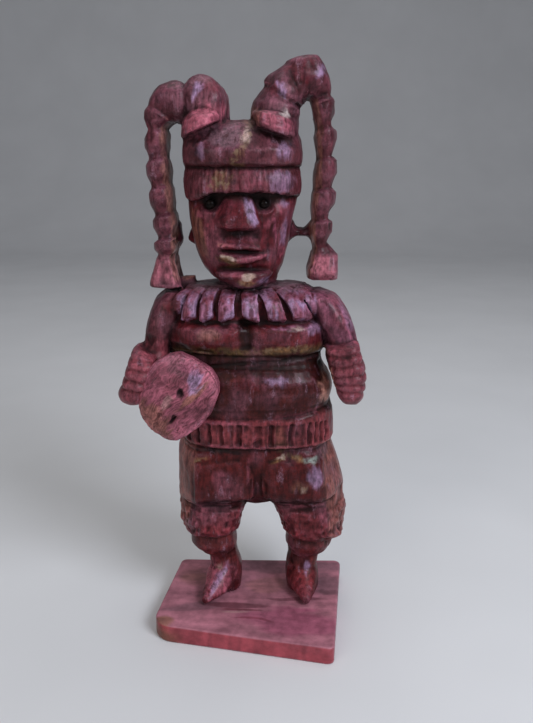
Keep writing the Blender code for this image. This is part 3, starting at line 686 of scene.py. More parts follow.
    # Grooves down the cheeks: depth, place beside the nose, slope and width, then middle and half length
    cheek_grooves: tuple[Row, ...] = (
        (0.12, -6, 0.22, 0.35, 56, 1.8), (0.22, 2.5, -0.22, 0.30, 56.5, 2.2),
    )

    def face_relief(self, rings: Rings) -> Array:
        """Eye hollows with a lower lid, hollows under brow, nose, mouth and lip, and the cheeks' grooves.

        Args:
            rings: the form's points.

        Returns:
            Distances outwards: less the bells of the hollows and grooves, in front.
        """
        across, height = rings.across_height()
        depth = 0.35 * hollow(height, 62.6, 0.7)
        for eye_across, eye_height in self.eye_places:
            depth = depth + 0.75 * hollow(across, eye_across, 1.7) * hollow(height, eye_height + 0.2, 1.0)
            rim = np.hypot((across - eye_across) / 1.35, (height - eye_height) / 1.15)
            depth -= 0.34 * hollow(rim, 1.0, 0.18) * fade(0.1, -0.7, height - eye_height)
        for deep, middle_height, width, middle, half, soft in self.level_hollows:
            depth += deep * hollow(height, middle_height, width) * plateau(across, middle, half, soft)
        for deep, side, slope, width, middle_height, half in self.cheek_grooves:
            along = hollow(across, side + slope * (59.0 - height), width)
            depth += deep * along * plateau(height, middle_height, half, 1.0)
        return -rings.front(0.0, -0.35) * depth

    def strands(self, rings: Rings) -> Array:
        """The fringe's strands: upright V grooves, each a little off its place and its length.

        Args:
            rings: the form's points.

        Returns:
            Distances outwards: less the depth where the sine of the place round is small.
        """
        height = rings.place[..., 2]
        along = rings.turn * self.strand_radius / self.strand_pitch
        wander = 0.8 * cloud(rings.place, (1.3, 1.3, 4.0), 11)
        comb = np.abs(np.sin(along * math.pi + wander))
        deep = 0.30 + 0.24 * cloud(rings.place, (0.9, 0.9, 3.0), 12)
        return -deep * (1.0 - comb**0.8) * plateau(height, 64.0, 1.9, 0.4)

    def fringe_lift(self, rings: Rings) -> Array:
        """Lifts the fringe's lower edge over the brow, with strands of uneven length.

        Args:
            rings: the form's points.

        Returns:
            Moves up: full at the lower edge, and none at the upper one.
        """
        across, height = rings.across_height()
        arch = fade(-7.6, -5.0, across) - 0.45 * fade(1.5, 5.0, across)
        low = fade(65.0, 61.8, height) * rings.front(0.3, -0.3)
        return moved((arch + 0.14 * cloud(rings.place, (0.5, 0.5, 9.0), 13)) * low, 2)

    def band_relief(self, rings: Rings) -> Array:
        """The headband's waver and the lump at its middle.

        Args:
            rings: the form's points.

        Returns:
            Distances outwards: slow noise, and a bell in the middle of the front.
        """
        across, height = rings.across_height()
        lump = 0.25 * hollow(across + 0.4 * (height - 69.0), -1.3, 1.0) * hollow(height, 69.3, 1.6)
        return 0.10 * cloud(rings.place, (2.6, 2.6, 1.6), 21) + rings.front(0.0, -0.5) * lump

    def nose(self) -> Skin:
        """The nose: a wedge with a flat front, a bevel down its right edge and a cut base.

        Returns:
            Its skin. Each ring runs straight from corner to corner: left foot, both edges of the flat front,
            the bevel's outer edge, the right foot, and back behind the face.
        """
        rows = np.asarray(self.nose_rows)[::-1]
        heights = np.linspace(rows[-1, 0], rows[0, 0], 60)
        left, front_left, front_right, bevel, right, foot, peak = (
            np.interp(heights, rows[:, 0], rows[:, column]) for column in range(1, 8)
        )
        shoulder = foot + 0.55 * (peak - foot)
        behind = np.full_like(foot, 4.2)
        corners_x = np.stack([left, front_left, front_right, bevel, right, right, left, left], axis=1)
        corners_y = -np.stack([foot, peak - 0.15, peak, shoulder, foot, behind, behind, foot], axis=1)
        along = np.linspace(0, 7, 57)[:-1]
        piece, part = along.astype(int), along % 1.0
        x = corners_x[:, piece] * (1 - part) + corners_x[:, piece + 1] * part
        y = corners_y[:, piece] * (1 - part) + corners_y[:, piece + 1] * part
        return grid_skin(np.stack([x, y, np.repeat(heights[:, None], x.shape[1], axis=1)], axis=-1))

    def skins(self) -> list[Skin]:
        """Everything above the shoulders but the plaits.

        Returns:
            Their closed skins.
        """
        return [
            Sweep(self.skull, relief=self.face_relief).skin(),
            Sweep(self.fringe, step=0.12, warp=self.fringe_lift, relief=self.strands).skin(),
            Sweep(self.band, relief=self.band_relief).skin(),
            Sweep(self.neck).skin(),
            self.nose(),
            Sweep(self.upper_lip, RingPlane.UPRIGHT, 0.1).skin(),
            Sweep(self.lower_lip, RingPlane.UPRIGHT, 0.1).skin(),
            Sweep(self.chin).skin(),
        ]


@dataclass(frozen=True)
class Plait:
    """One plait: it rises like a horn, bends over and hangs to a flared tassel, all cut into lobes.

    Args:
        stations: the plait's rows.
        pinches: places across and up where it is pinched between two lobes.
        rise: the share of a lobe over which it steps out.
        outer: 1 if the side that faces away from the head is the ring's right side, else -1.
        pad: the rows of the overhanging tuft at its root.
        pad_slope: how the tuft's lower edge rises from left to right.
        tassel: the rows of its cut end.
        knob: the rows of the lobe that stands up at its root or on its bend.
    """

    stations: tuple[Row, ...]
    pinches: tuple[Row, ...]
    rise: float
    outer: float
    pad: tuple[Row, ...]
    pad_slope: float
    tassel: tuple[Row, ...]
    knob: tuple[Row, ...]
    lobe_depth: float = 0.86
    groove_pitch: float = 0.62

    def relief(self, rings: Rings) -> Array:
        """Each lobe steps out after its pinch and tapers to the next, least on the side by the head.

        Args:
            rings: the form's points.

        Returns:
            Distances outwards: a short rise and a long fall along each lobe.
        """
        rows, run = smooth_rows(self.stations, 400)
        marks = np.array([run[np.hypot(rows[:, 0] - x, rows[:, 2] - z).argmin()] for x, z in self.pinches])
        slant = 0.28 * np.cos(rings.turn + 0.7)
        place = np.interp(rings.run + slant, marks, np.arange(len(marks)), left=0.0, right=len(marks) - 1.0)
        cycle = place % 1.0
        lobe = fade(0.0, self.rise, cycle) * fade(1.02, 0.50, cycle) - 0.5
        first, last = marks[0], marks[-1]
        ends = fade(first - 0.8, first - 0.2, rings.run) * fade(last + 0.7, last + 0.1, rings.run)
        uneven = 1.0 + 0.2 * cloud(rings.place, 2.4, 31)
        side = 0.14 + 0.86 * np.maximum(self.outer * np.cos(rings.turn), 0.75 * np.abs(np.sin(rings.turn)))
        hanging = 0.68 + 0.32 * fade(marks[2], marks[3], rings.run)
        return self.lobe_depth * lobe * uneven * side * ends * hanging

    def tassel_relief(self, rings: Rings) -> Array:
        """Shallow upright grooves of the tassel's hair, and a slow waver."""
        groove = np.abs(np.sin(rings.turn * 9.0 + 1.5 * cloud(rings.place, 2.0, 35)))
        return -0.12 * (1.0 - groove) + 0.10 * cloud(rings.place, 1.6, 36)

    def pad_warp(self, rings: Rings) -> Array:
        """Tilts the tuft's lower edge.

        Args:
            rings: the form's points.

        Returns:
            Moves up, in proportion to the place across; a quarter as much at the top.
        """
        across, height = rings.across_height()
        low = fade(73.4, 69.8, height) * 0.75 + 0.25
        return moved(self.pad_slope * (across - self.pad[0][0]) * low, 2)

    def pad_relief(self, rings: Rings) -> Array:
        """The tuft's fine grooves, which fan out from its inner end.

        Args:
            rings: the form's points.

        Returns:
            Distances outwards: a sine across the grooves' run.
        """
        across, height = rings.across_height()
        fan = height - 0.75 * self.pad_slope * (across - self.pad[0][0])
        wander = 1.2 * cloud(rings.place, (2.2, 2.2, 0.8), 33)
        return 0.09 * np.sin(fan * 2 * math.pi / self.groove_pitch + wander)

    def skins(self) -> list[Skin]:
        """The plait, the tuft at its root, the tassel and the knob.

        Returns:
            Their closed skins.
        """
        sweeps = [
            Sweep(self.stations, RingPlane.UPRIGHT, step=0.13, relief=self.relief),
            Sweep(self.pad, warp=self.pad_warp, relief=self.pad_relief),
        ]
        sweeps += [Sweep(rows, relief=self.tassel_relief) for rows in (self.tassel, self.knob)]
        return [sweep.skin() for sweep in sweeps]


LEFT_PLAIT = Plait(
    stations=(
        (-6.6, 0.4, 73.5, 2, 4.4, 4.2, 2.6), (-8.4, 0.4, 73.85, 2.5, 5, 4.5, 2.8),
        (-10, 0.4, 73.9, 2.55, 4.8, 4.4, 3), (-11.4, 0.4, 73.3, 2.5, 4.5, 4.2, 3),
        (-12.4, 0.4, 72, 1.8, 4.2, 4, 2.7), (-12.7, 0.4, 70.5, 1.45, 4, 4, 2.7),
        (-12.55, 0.4, 66, 1.45, 3.9, 3.9, 2.8), (-12.3, 0.4, 62, 1.5, 3.8, 3.8, 2.8),
        (-11.9, 0.4, 58, 1.5, 3.5, 3.5, 2.8), (-11.9, 0.4, 55, 1.45, 3.2, 3.2, 2.6),
        (-12, 0.4, 53.4, 1.4, 3.2, 3.2, 2.6),
    ),
    tassel=(
        (-12, 0.4, 50.1, 2, 3.3, 3.3, 3.6), (-12.15, 0.4, 50.3, 2.3, 3.9, 3.8, 3.8),
        (-12.2, 0.4, 51.2, 2.15, 3.8, 3.7, 3.8), (-12.1, 0.4, 52.8, 1.7, 3.5, 3.4, 3.2),
        (-12, 0.4, 53.9, 1.45, 3.2, 3.2, 2.8), (-12, 0.4, 54.4, 1.2, 2.8, 2.8, 2.6),
    ),
    pinches=(
        (-8.5, 73.8), (-12, 72.7), (-12.7, 70.6), (-12.6, 67.2), (-12.4, 63.6), (-12.1, 60), (-11.9, 56.8),
        (-12, 54.2),
    ),
    rise=0.22,
    outer=-1.0,
    pad=(
        (-6.6, 0.2, 70.3, 2.1, 5.2, 4.4, 2.2), (-6.55, 0.2, 70.4, 2.75, 7.6, 4.7, 2.3),
        (-6.5, 0.2, 70.9, 3, 8.1, 4.9, 2.4), (-6.5, 0.2, 71.9, 2.95, 7.7, 4.9, 2.3),
        (-6.5, 0.2, 72.8, 2.5, 6.6, 4.8, 2.1), (-6.5, 0.2, 73.5, 1.6, 5.6, 4.4, 2),
    ),
    pad_slope=0.42,
    knob=(
        (-6, 0.4, 69.9, 2.7, 5.6, 5.2, 2.8), (-6.1, 0.4, 72, 2.9, 6.1, 5.2, 3),
        (-6.15, 0.4, 74, 2.95, 6, 5, 3.3), (-6.35, 0.4, 75.4, 2.75, 5.6, 4.8, 3.5),
        (-6.55, 0.4, 76.3, 2.15, 5, 4.5, 3.3), (-6.6, 0.4, 76.9, 1.6, 4.2, 4, 3),
        (-6.55, 0.4, 77.25, 1.05, 3, 3, 2.7),
    ),
)
RIGHT_PLAIT = Plait(
    stations=(
        (2.75, 0.4, 69.9, 3.1, 5.6, 5.2, 2.6), (2.8, 0.4, 72, 3.1, 6.1, 5.2, 2.6),
        (3.1, 0.4, 73.8, 2.95, 6, 5, 2.6), (3.95, 0.4, 75.2, 2.8, 5.7, 4.8, 2.6),
        (5.3, 0.4, 76.4, 2.7, 5.3, 4.6, 2.7), (7, 0.4, 76.35, 2.4, 4.8, 4.3, 3),
        (8.4, 0.4, 75.1, 1.9, 4.3, 4.1, 2.8), (8.75, 0.4, 73.4, 1.3, 4, 4, 2.7),
        (8.95, 0.4, 71.8, 1.2, 3.9, 3.9, 2.7), (9.15, 0.4, 70, 1.3, 3.9, 3.9, 2.8),
        (9.35, 0.4, 67, 1.25, 3.9, 3.9, 2.8), (9.15, 0.4, 62.7, 1.45, 3.8, 3.8, 2.8),
        (8.9, 0.4, 59, 1.35, 3.5, 3.5, 2.8), (8.85, 0.4, 56.5, 1.25, 3.2, 3.2, 2.6),
        (8.95, 0.4, 54.8, 1.1, 3, 3, 2.6),
    ),
    tassel=(
        (9.2, 0.4, 51, 1.9, 2.5, 3.2, 3.6), (9.25, 0.4, 51.2, 2.15, 2.8, 3.6, 4.4),
        (9.25, 0.4, 52.4, 2.15, 4, 3.6, 4.4), (9.4, 0.4, 53.4, 1.95, 3.8, 3.5, 4.2),
        (9.5, 0.4, 54.6, 1.8, 3.1, 3.3, 4.2), (9.45, 0.4, 54.85, 1.5, 2.8, 3, 3.4),
        (9, 0.4, 56, 1, 2.6, 2.8, 2.6),
    ),
    pinches=(
        (2.75, 72.3), (3.6, 74.7), (5.1, 76.3), (8.6, 74.3), (9.05, 70.8), (9.3, 67.1), (9.15, 63.2),
        (8.9, 59.2), (8.9, 55.7),
    ),
    rise=0.17,
    outer=1.0,
    pad=(
        (2.5, 0.2, 70.05, 2.2, 5.2, 4.4, 2.4), (2.5, 0.2, 70.15, 2.75, 7.5, 4.7, 2.6),
        (2.5, 0.2, 70.7, 2.95, 8, 4.9, 2.6), (2.4, 0.2, 71.7, 2.95, 7.8, 4.9, 2.6),
        (2.4, 0.2, 72.5, 2.75, 7, 4.8, 2.5), (2.4, 0.2, 72.8, 2.2, 5.6, 4.4, 2.4),
    ),
    pad_slope=-0.36,
    knob=(
        (6.4, 0.4, 76, 1.8, 4.2, 4, 3), (6.7, 0.4, 77.3, 2.7, 4.9, 4.3, 3.6),
        (6.5, 0.4, 78.3, 2.6, 4.8, 4.2, 3.4), (6.4, 0.4, 78.85, 2.35, 4.6, 4.1, 3.4),
        (6.75, 0.4, 79.2, 1.75, 4.2, 3.8, 3.6), (7.3, 0.4, 79.5, 0.95, 3.6, 3.2, 3.2),
        (7.6, 0.4, 79.65, 0.4, 2.6, 2.4, 3),
    ),
)


@dataclass(frozen=True)
class Web:
    """The thin bridge that is left between the right plait and the cheek, and the stubs of the broken one."""

    whole: tuple[Row, ...] = (
        (4, 1.4, 57.6, 2.3, 2.2, 1.9, 2.4), (4.9, 1.4, 57.5, 1.6, 2, 1.8, 2.4),
        (5.4, 1.4, 57.4, 0.95, 1.8, 1.7, 2.4), (5.9, 1.4, 57.35, 0.66, 1.6, 1.6, 2.4),
        (6.7, 1.4, 57.35, 0.66, 1.7, 1.7, 2.4), (7.2, 1.4, 57.45, 0.95, 1.8, 1.7, 2.4),
        (7.7, 1.4, 57.5, 1.6, 2, 1.8, 2.4), (8.6, 1.4, 57.5, 2.1, 2.2, 1.9, 2.4),
    )
    cheek_stub: tuple[Row, ...] = (
        (-6.6, 1.4, 57, 2.2, 2.2, 1.9, 2.4), (-7.9, 1.4, 56.8, 1.6, 1.9, 1.8, 2.4),
        (-8.5, 1.4, 56.6, 1.1, 1.6, 1.6, 2.6), (-8.95, 1.4, 56.45, 0.6, 1.2, 1.2, 2.6),
        (-9.2, 1.4, 56.38, 0.28, 0.8, 0.8, 2.4),
    )
    plait_stub: tuple[Row, ...] = (
        (-12.2, 1.4, 56.7, 3.4, 2.2, 1.9, 2.4), (-11.2, 1.4, 56.6, 2.6, 2, 1.8, 2.4),
        (-10.6, 1.4, 56.4, 1.75, 1.8, 1.7, 2.4), (-10.2, 1.4, 56.3, 1.15, 1.4, 1.4, 2.4),
        (-9.85, 1.4, 56.25, 0.4, 0.9, 0.9, 2.2),
    )

    def skins(self) -> list[Skin]:
        """The bridge and its stubs, each carried across from cheek to plait."""
        pieces = (self.whole, self.cheek_stub, self.plait_stub)
        return [Sweep(rows, RingPlane.UPRIGHT, 0.12).skin() for rows in pieces]


@dataclass(frozen=True)
class Arm:
    """A sleeve and the closed hand below it.

    Args:
        sleeve: the sleeve's rows.
        hand: the hand's rows.
        grooves: the distances along the hand of the grooves between the fingers.
        groove_slant: how far a groove runs down from the hand's left to its right.
    """

    sleeve: tuple[Row, ...]
    hand: tuple[Row, ...]
    grooves: tuple[float, ...]
    groove_slant: float
    groove_depth: float = 0.27

    def relief(self, rings: Rings) -> Array:
        """The fingers: rounded ridges between slanting grooves, fullest in front.

        Args:
            rings: the form's points.

        Returns:
            Distances outwards: less a narrow and a wide bell for each groove.
        """
        slanted = rings.run + self.groove_slant * np.cos(rings.turn) + 0.10 * cloud(rings.place, 1.1, 41)
        cut = sum(hollow(slanted, at, 0.22) + 0.45 * hollow(slanted, at, 0.50) for at in self.grooves)
        return -self.groove_depth * cut * (0.30 + 0.70 * rings.front(0.3, -0.5))

    def skins(self) -> list[Skin]:
        """The sleeve and the hand.

        Returns:
            Their closed skins.
        """
        return [
            Sweep(self.sleeve).skin(),
            Sweep(self.hand, RingPlane.UPRIGHT, relief=self.relief).skin(),
        ]


LEFT_ARM = Arm(
    sleeve=(
        (-10.6, 0.4, 49.6, 1.9, 3.4, 2.8, 2.4), (-11.4, 0.3, 48.4, 2.5, 4.5, 3.5, 2.6),
        (-12.5, 0, 45.6, 2.4, 4.8, 3.6, 2.8), (-13.2, -0.6, 43.4, 2.1, 4.4, 3.4, 2.7),
        (-13.6, -1.6, 41.6, 2, 3.6, 3.2, 2.6), (-14.4, -3, 39.8, 2.1, 3.6, 3.2, 2.6),
    ),
    hand=(
        (-14.5, -4.2, 42.1, 1.4, 2, 2.6, 3), (-14.8, -4.5, 41.5, 1.9, 2.9, 3.2, 3.1),
        (-15.3, -4.8, 39.8, 2.05, 3.4, 3.5, 3), (-16, -5, 37.8, 2, 3.5, 3.5, 2.9),
        (-16.7, -5, 36, 1.95, 3.2, 3.3, 2.8), (-17, -4.9, 35.1, 1.5, 2.5, 2.7, 2.5),
        (-17.1, -4.8, 34.7, 0.9, 1.6, 1.8, 2.3),
    ),
    grooves=(1.2, 2.5, 4.0, 5.4),
    groove_slant=0.25,
)
RIGHT_ARM = Arm(
    sleeve=(
        (7.4, 0.4, 49.7, 1.9, 3.4, 2.8, 2.4), (9, 0.3, 48.7, 2.5, 4.6, 3.5, 2.6),
        (10.7, 0, 46, 2.6, 5.1, 3.6, 2.8), (11.75, -0.6, 43.4, 2.45, 4.6, 3.4, 2.7),
        (12.3, -1.6, 41.2, 2.1, 3.6, 3.2, 2.6), (12.8, -2.6, 38.8, 1.8, 3.2, 2.8, 2.4),
    ),
    hand=(
        (11.7, -4, 43.1, 1.9, 2, 2.6, 2.8), (11.8, -4.3, 42.6, 2.45, 2.7, 3.2, 3.2),
        (12.1, -4.6, 41.2, 2.5, 3.1, 3.4, 3.2), (12.75, -4.8, 39, 2.45, 3.1, 3.2, 3),
        (13.1, -4.8, 37, 2.15, 2.8, 3, 2.9), (13.2, -4.7, 35.5, 1.75, 2.2, 2.4, 2.7),
        (13.2, -4.6, 34.5, 1.05, 1.3, 1.5, 2.4),
    ),
    grooves=(1.5, 2.9, 4.3, 5.6, 6.8),
    groove_slant=-0.35,
)


# The small flake that stands up on the left shoulder
FLAKE: tuple[Row, ...] = (
    (-9.4, 0.6, 50.2, 1.3, 1.3, 1.2, 2.4), (-9.3, 0.6, 50.8, 1.2, 1.1, 1, 2.4),
    (-9.2, 0.6, 51.2, 1, 0.8, 0.8, 2.4), (-8.9, 0.6, 51.45, 0.8, 0.5, 0.5, 2.4),
)


@dataclass(frozen=True)
class Belt:
    """A band round the hips with upright slots cut between its ribs, under a lip that rises at one side."""

    stations: tuple[Row, ...] = (
        (0.4, 0.1, 28.15, 9.6, 5.6, 5.8, 2.7), (0.4, 0.1, 28.3, 10.6, 6.9, 6.6, 2.7),
        (0.4, 0.1, 28.8, 10.9, 7.2, 6.9, 2.7), (0.3, 0.1, 31.8, 10.8, 7.25, 6.9, 2.7),
        (0.2, 0.1, 32.3, 10.7, 7.1, 6.8, 2.7), (0.1, 0.1, 32.6, 10.4, 6.5, 6.4, 2.7),
    )
    slots: tuple[Row, ...] = (
        (-9.4, 0.20), (-8.1, 0.20), (-6.55, 0.26), (-4.85, 0.24), (-2.3, 0.30), (0.45, 0.40), (2.3, 0.18),
        (5.05, 0.20), (7.6, 0.14), (8.5, 0.12), (9.4, 0.14), (10.1, 0.10),
    )
    panels: tuple[Row, ...] = (
        (-5.6, 0.40), (-3.65, 0.60), (-1.2, 0.45), (1.3, 0.35), (3.65, 0.75), (6.2, 0.55),
    )
    back_slots: int = 15
    slot_depth: float = 0.50

    def warp(self, rings: Rings) -> Array:
        """Raises the upper lip towards the right.

        Args:
            rings: the form's points.

        Returns:
            Moves up, more towards the right and towards the upper lip.
        """
        across, height = rings.across_height()
        rise = 0.9 * fade(3.0, 10.5, across) + 0.25 * fade(-6.0, 2.0, across)
        return moved(rise * fade(29.5, 32.3, height), 2)

    def relief(self, rings: Rings) -> Array:
        """The slots and the shallow panels: square-cut, with ragged walls, between two lips.

        Args:
            rings: the form's points.

        Returns:
            Distances outwards: fine noise, less the depth of the slots and panels.
        """
        across, height = rings.across_height()
        wander = 0.17 * cloud(rings.place, 0.9, 51)
        cut, shallow = (
            sum(plateau(across + wander, place, half, 0.14) for place, half in cells)
            for cells in (self.slots, self.panels)
        )
        comb = (rings.turn / math.pi * self.back_slots) % 1.0 - 0.5
        tall = plateau(height + 1.2 * wander, 30.35, 1.35, 0.28)
        ragged = 1.0 + 0.25 * cloud(rings.place, 0.9, 52)
        front = rings.front(0.1, -0.1)
        cells = front * np.clip(cut + 0.42 * shallow, 0, 1) + (1 - front) * plateau(comb, 0.0, 0.20, 0.12)
        return 0.11 * cloud(rings.place, (0.6, 0.6, 0.9), 53) - self.slot_depth * tall * cells * ragged

    def skins(self) -> list[Skin]:
        """The belt."""
        return [Sweep(self.stations, step=0.12, warp=self.warp, relief=self.relief).skin()]


@dataclass(frozen=True)
class Leg:
    """One leg of the breeches with its ribbed cuff, the calf and the boot below it.

    Args:
        breech: the breeches' rows.
        calf: the calf's rows.
        boot: the boot's rows, from heel to toe.
        panel: the front panel's middle and half width.
        outer: -1 for the left leg and 1 for the right.
        bevel: how far the outer side slants in towards the front.
    """

    breech: tuple[Row, ...]
    calf: tuple[Row, ...]
    boot: tuple[Row, ...]
    panel: Row
    outer: float
    bevel: float = 2.3
    cuff_ribs: int = 30

    def warp(self, rings: Rings) -> Array:
        """Slants the outer side: the further forward a point of it lies, the more it moves in.

        Args:
            rings: the form's points.

        Returns:
            Moves inwards: the bevel times the share outwards to the power 1.5, and forward.
        """
        place = rings.place
        middle = place.mean(axis=1, keepdims=True)
        share = np.clip(self.outer * (place - middle)[..., 0] / rings.half, 0.0, 1.0)
        forward = np.clip((-0.5 - place[..., 1]) / 6.0, 0.0, 1.0)
        inward = -self.outer * self.bevel * share**1.5 * forward
        return moved(inward * plateau(place[..., 2], 21.0, 6.4, 1.2), 0)

    def relief(self, rings: Rings) -> Array:
        """The proud front panel over a flat strip, the crease under it, and the cuff's ribs and hem.

        Args:
            rings: the form's points.

        Returns:
            Distances outwards: the ribs' sine, the hem's noise, and the panel and creases.
        """
        across, height = rings.across_height()
        wander = 3.0 * cloud(rings.place, (1.2, 1.2, 3.0), 61)
        ribs = np.sin(rings.turn * self.cuff_ribs + wander) * (0.6 + 0.9 * cloud(rings.place, 0.9, 64))
        cuff = plateau(height, 15.9, 1.7, 0.4)
        hem = fade(15.4, 13.6, height) * cloud(rings.place, 0.75, 62)
        hem = hem + 1.1 * cuff * cloud(rings.place, 0.55, 65)
        middle, half = self.panel
        ragged = 0.20 * cloud(rings.place, 0.9, 63)
        top = 26.2 + 0.035 * (across - middle) + ragged
        panel = plateau(across + 0.3 * ragged, middle, half, 0.35) * fade(top + 0.16, top - 0.16, height)
        panel = panel * fade(19.5, 20.0, height)
        dent = 0.30 * hollow(height, 19.2 + 0.05 * across, 0.30) + 0.22 * hollow(height, 27.7, 0.22)
        return 0.10 * cuff * ribs + 0.24 * hem + rings.front(-0.1, -0.5) * (0.30 * panel - dent)

    def skins(self) -> list[Skin]:
        """Breeches leg, calf and boot.

        Returns:
            Their closed skins.
        """
        return [
            Sweep(self.breech, step=0.13, warp=self.warp, relief=self.relief).skin(),
            Sweep(self.calf).skin(),
            Sweep(self.boot, RingPlane.FORWARD, 0.12).skin(),
        ]


LEFT_LEG = Leg(
    breech=(
        (-5.2, 0.2, 28.4, 4.7, 4.6, 4.6, 3), (-5.4, 0.2, 27.9, 5.4, 6, 5.3, 3.6),
        (-5.5, 0.2, 26.4, 5.85, 6.4, 5.7, 4.2), (-5.5, 0.2, 23.4, 6.1, 6.5, 6, 5),
        (-5.6, 0.2, 20.8, 5.9, 6.3, 5.9, 4.8), (-5.95, 0.2, 19.4, 5.55, 5.9, 5.6, 3.8),
        (-6.25, 0.2, 18.4, 5.25, 5.4, 5.3, 3.2), (-6.5, 0.2, 17.2, 4.95, 5.8, 5.4, 3),
        (-6.8, 0.2, 15.4, 4.65, 5.8, 5.4, 2.9), (-6.8, 0.2, 14.2, 4.4, 5.4, 5, 2.8),
        (-6.7, 0.2, 13.3, 3.75, 4.5, 4.3, 2.5),
    ),
    calf=(
        (-6.4, 0.2, 15, 2.9, 3.2, 3.2, 2.3), (-6.5, 0.2, 12.8, 3.4, 3.6, 3.4, 2.4),
        (-6.4, 0.2, 11.2, 3.5, 3.7, 3.4, 2.4), (-5.8, 0.3, 9.7, 2.8, 3.1, 3, 2.4),
        (-5.1, 0.4, 8.6, 2.3, 2.6, 2.7, 2.3), (-4.7, 0.4, 6.4, 2.5, 2.7, 2.8, 2.4),
        (-4.9, 0.2, 4.6, 2.7, 2.9, 2.8, 2.5), (-5, 0.2, 3, 2.6, 2.7, 2.6, 2.6),
    ),
    boot=(
        (-4.4, 2.8, 4.2, 1.5, 1.2, 1.2, 2.8), (-4.5, 2.2, 4.3, 2.2, 1.3, 1.6, 3),
        (-4.9, 0.6, 4.6, 2.5, 1.6, 3, 2.6), (-5.4, -1, 4.5, 2.4, 1.5, 3.5, 2.2),
        (-5.9, -2.4, 4.2, 2.1, 1.2, 2.6, 2.1), (-6.7, -3.9, 3.9, 1.5, 0.9, 1.5, 2),
        (-7.6, -5.6, 3.6, 0.6, 0.6, 0.6, 2),
    ),
    panel=(-4.4, 3.95),
    outer=-1.0,
)
RIGHT_LEG = Leg(
    breech=(
        (5.1, 0.2, 28.4, 5, 4.6, 4.6, 3), (5.3, 0.2, 27.9, 5.4, 6, 5.3, 3.6),
        (5.6, 0.2, 26.4, 5.8, 6.4, 5.7, 4.2), (6.2, 0.2, 23.4, 6.25, 6.5, 6, 4.6),
        (6.8, 0.2, 20.8, 6.35, 6.3, 5.9, 4.4), (7.1, 0.2, 19.4, 6, 5.9, 5.6, 3.8),
        (7.6, 0.2, 18.4, 5.6, 5.4, 5.3, 3.2), (8.1, 0.2, 17.2, 5.35, 5.8, 5.4, 3),
        (8.6, 0.2, 15.2, 4.95, 5.8, 5.4, 2.9), (8.7, 0.2, 13.6, 4.6, 5.4, 5, 2.8),
        (8.45, 0.2, 12.6, 3.8, 4.5, 4.3, 2.5),
    ),
    calf=(
        (8, 0.2, 15, 2.9, 3.2, 3.2, 2.3), (8.1, 0.2, 12.8, 3.4, 3.6, 3.4, 2.4),
        (8.1, 0.2, 11.2, 3.6, 3.7, 3.4, 2.4), (7.8, 0.3, 9.8, 3.1, 3.2, 3, 2.4),
        (7.3, 0.4, 8.6, 2.4, 2.6, 2.7, 2.3), (7, 0.4, 6.4, 2.4, 2.7, 2.8, 2.4),
        (7.1, 0.2, 4.6, 2.6, 2.9, 2.8, 2.5), (7.2, 0.2, 3, 2.5, 2.7, 2.6, 2.6),
    ),
    boot=(
        (7.2, 2.8, 4.2, 1.5, 1.2, 1.2, 2.8), (7.2, 2.2, 4.3, 2.1, 1.3, 1.6, 3),
        (7.3, 0.6, 4.6, 2.4, 1.6, 3, 2.6), (7.35, -1, 4.5, 2.3, 1.5, 3.5, 2.2),
        (7.4, -2.5, 4.2, 2, 1.2, 2.5, 2.1), (7.5, -4, 3.9, 1.35, 0.9, 1.4, 2),
        (7.5, -5.6, 3.6, 0.55, 0.6, 0.6, 2),
    ),
    panel=(5.3, 4.15),
    outer=1.0,
    bevel=2.7,
)
# The trunk of the breeches, between the legs and under the belt
HIPS: tuple[Row, ...] = (
    (0.3, 0.2, 18.2, 1.2, 2.6, 2.6, 2.2), (0.3, 0.2, 18.7, 3, 4, 4, 2.4), (0.4, 0.2, 21, 6, 5.3, 5, 2.8),
    (0.3, 0.2, 24, 8.4, 6, 5.4, 3), (0.2, 0.2, 27.4, 9.6, 6.5, 5.6, 3.2),
    (0.2, 0.2, 29, 9.6, 5.6, 5.2, 2.8),
)


class Tint(Enum):
    """The shell's colours, and the colours of the shade and highlights painted on it, as red, green and blue
    out of 255.
    """

    HORN = (106, 66, 76)
    PLAIT = (86, 42, 50)
    PINK = (130, 66, 78)
    FIST = (118, 56, 64)
    DISC = (138, 76, 90)
    TUFT = (152, 80, 94)
    PETAL = (136, 84, 106)
    MAUVE = (104, 62, 74)
    # LAVENDER mostly stands for painted reflections
    LAVENDER = (152, 126, 158)
    PALE = (186, 164, 150)
    WHITE = (206, 194, 188)
    GOLD = (122, 88, 58)
    OLIVE = (76, 58, 36)
    TAN = (122, 82, 66)
    # RIM mostly stands for painted light on lips, walls and sides
    RIM = (160, 112, 98)
    BLUE_GREEN = (132, 142, 134)
    MAROON = (78, 22, 28)
    RED = (88, 24, 30)
    CORAL = (140, 54, 60)
    # DEEP, DARK and BLACK serve mostly as painted shade in creases, hollows and under ledges; DEEP also
    # darkens the shell at random
    DEEP = (48, 13, 14)
    DARK = (40, 13, 9)
    BLACK = (16, 7, 6)
    BAND = (86, 44, 50)
    BELT = (112, 48, 52)
    FRINGE = (84, 38, 44)
    CHEST = (80, 22, 25)
    BELLY = (58, 17, 14)
    SIDE = (128, 76, 70)
    BREECH = (70, 18, 17)
    CUFF = (104, 42, 48)
    CALF = (84, 31, 31)
    ARM = (80, 38, 43)
    MAGENTA = (150, 78, 100)
    PLINTH = (162, 104, 116)
    WALL = (146, 58, 66)
    SLEEVE = (116, 66, 82)
    TASSEL = (156, 90, 102)
    # BROW is painted shade under the brow and round the eyes
    BROW = (44, 25, 24)
    GREY = (106, 78, 86)

    def linear(self) -> Array:
        """The colour as light."""
        share = np.array(self.value) / 255.0
        return np.where(share <= 0.04045, share / 12.92, ((share + 0.055) / 1.055) ** 2.4)


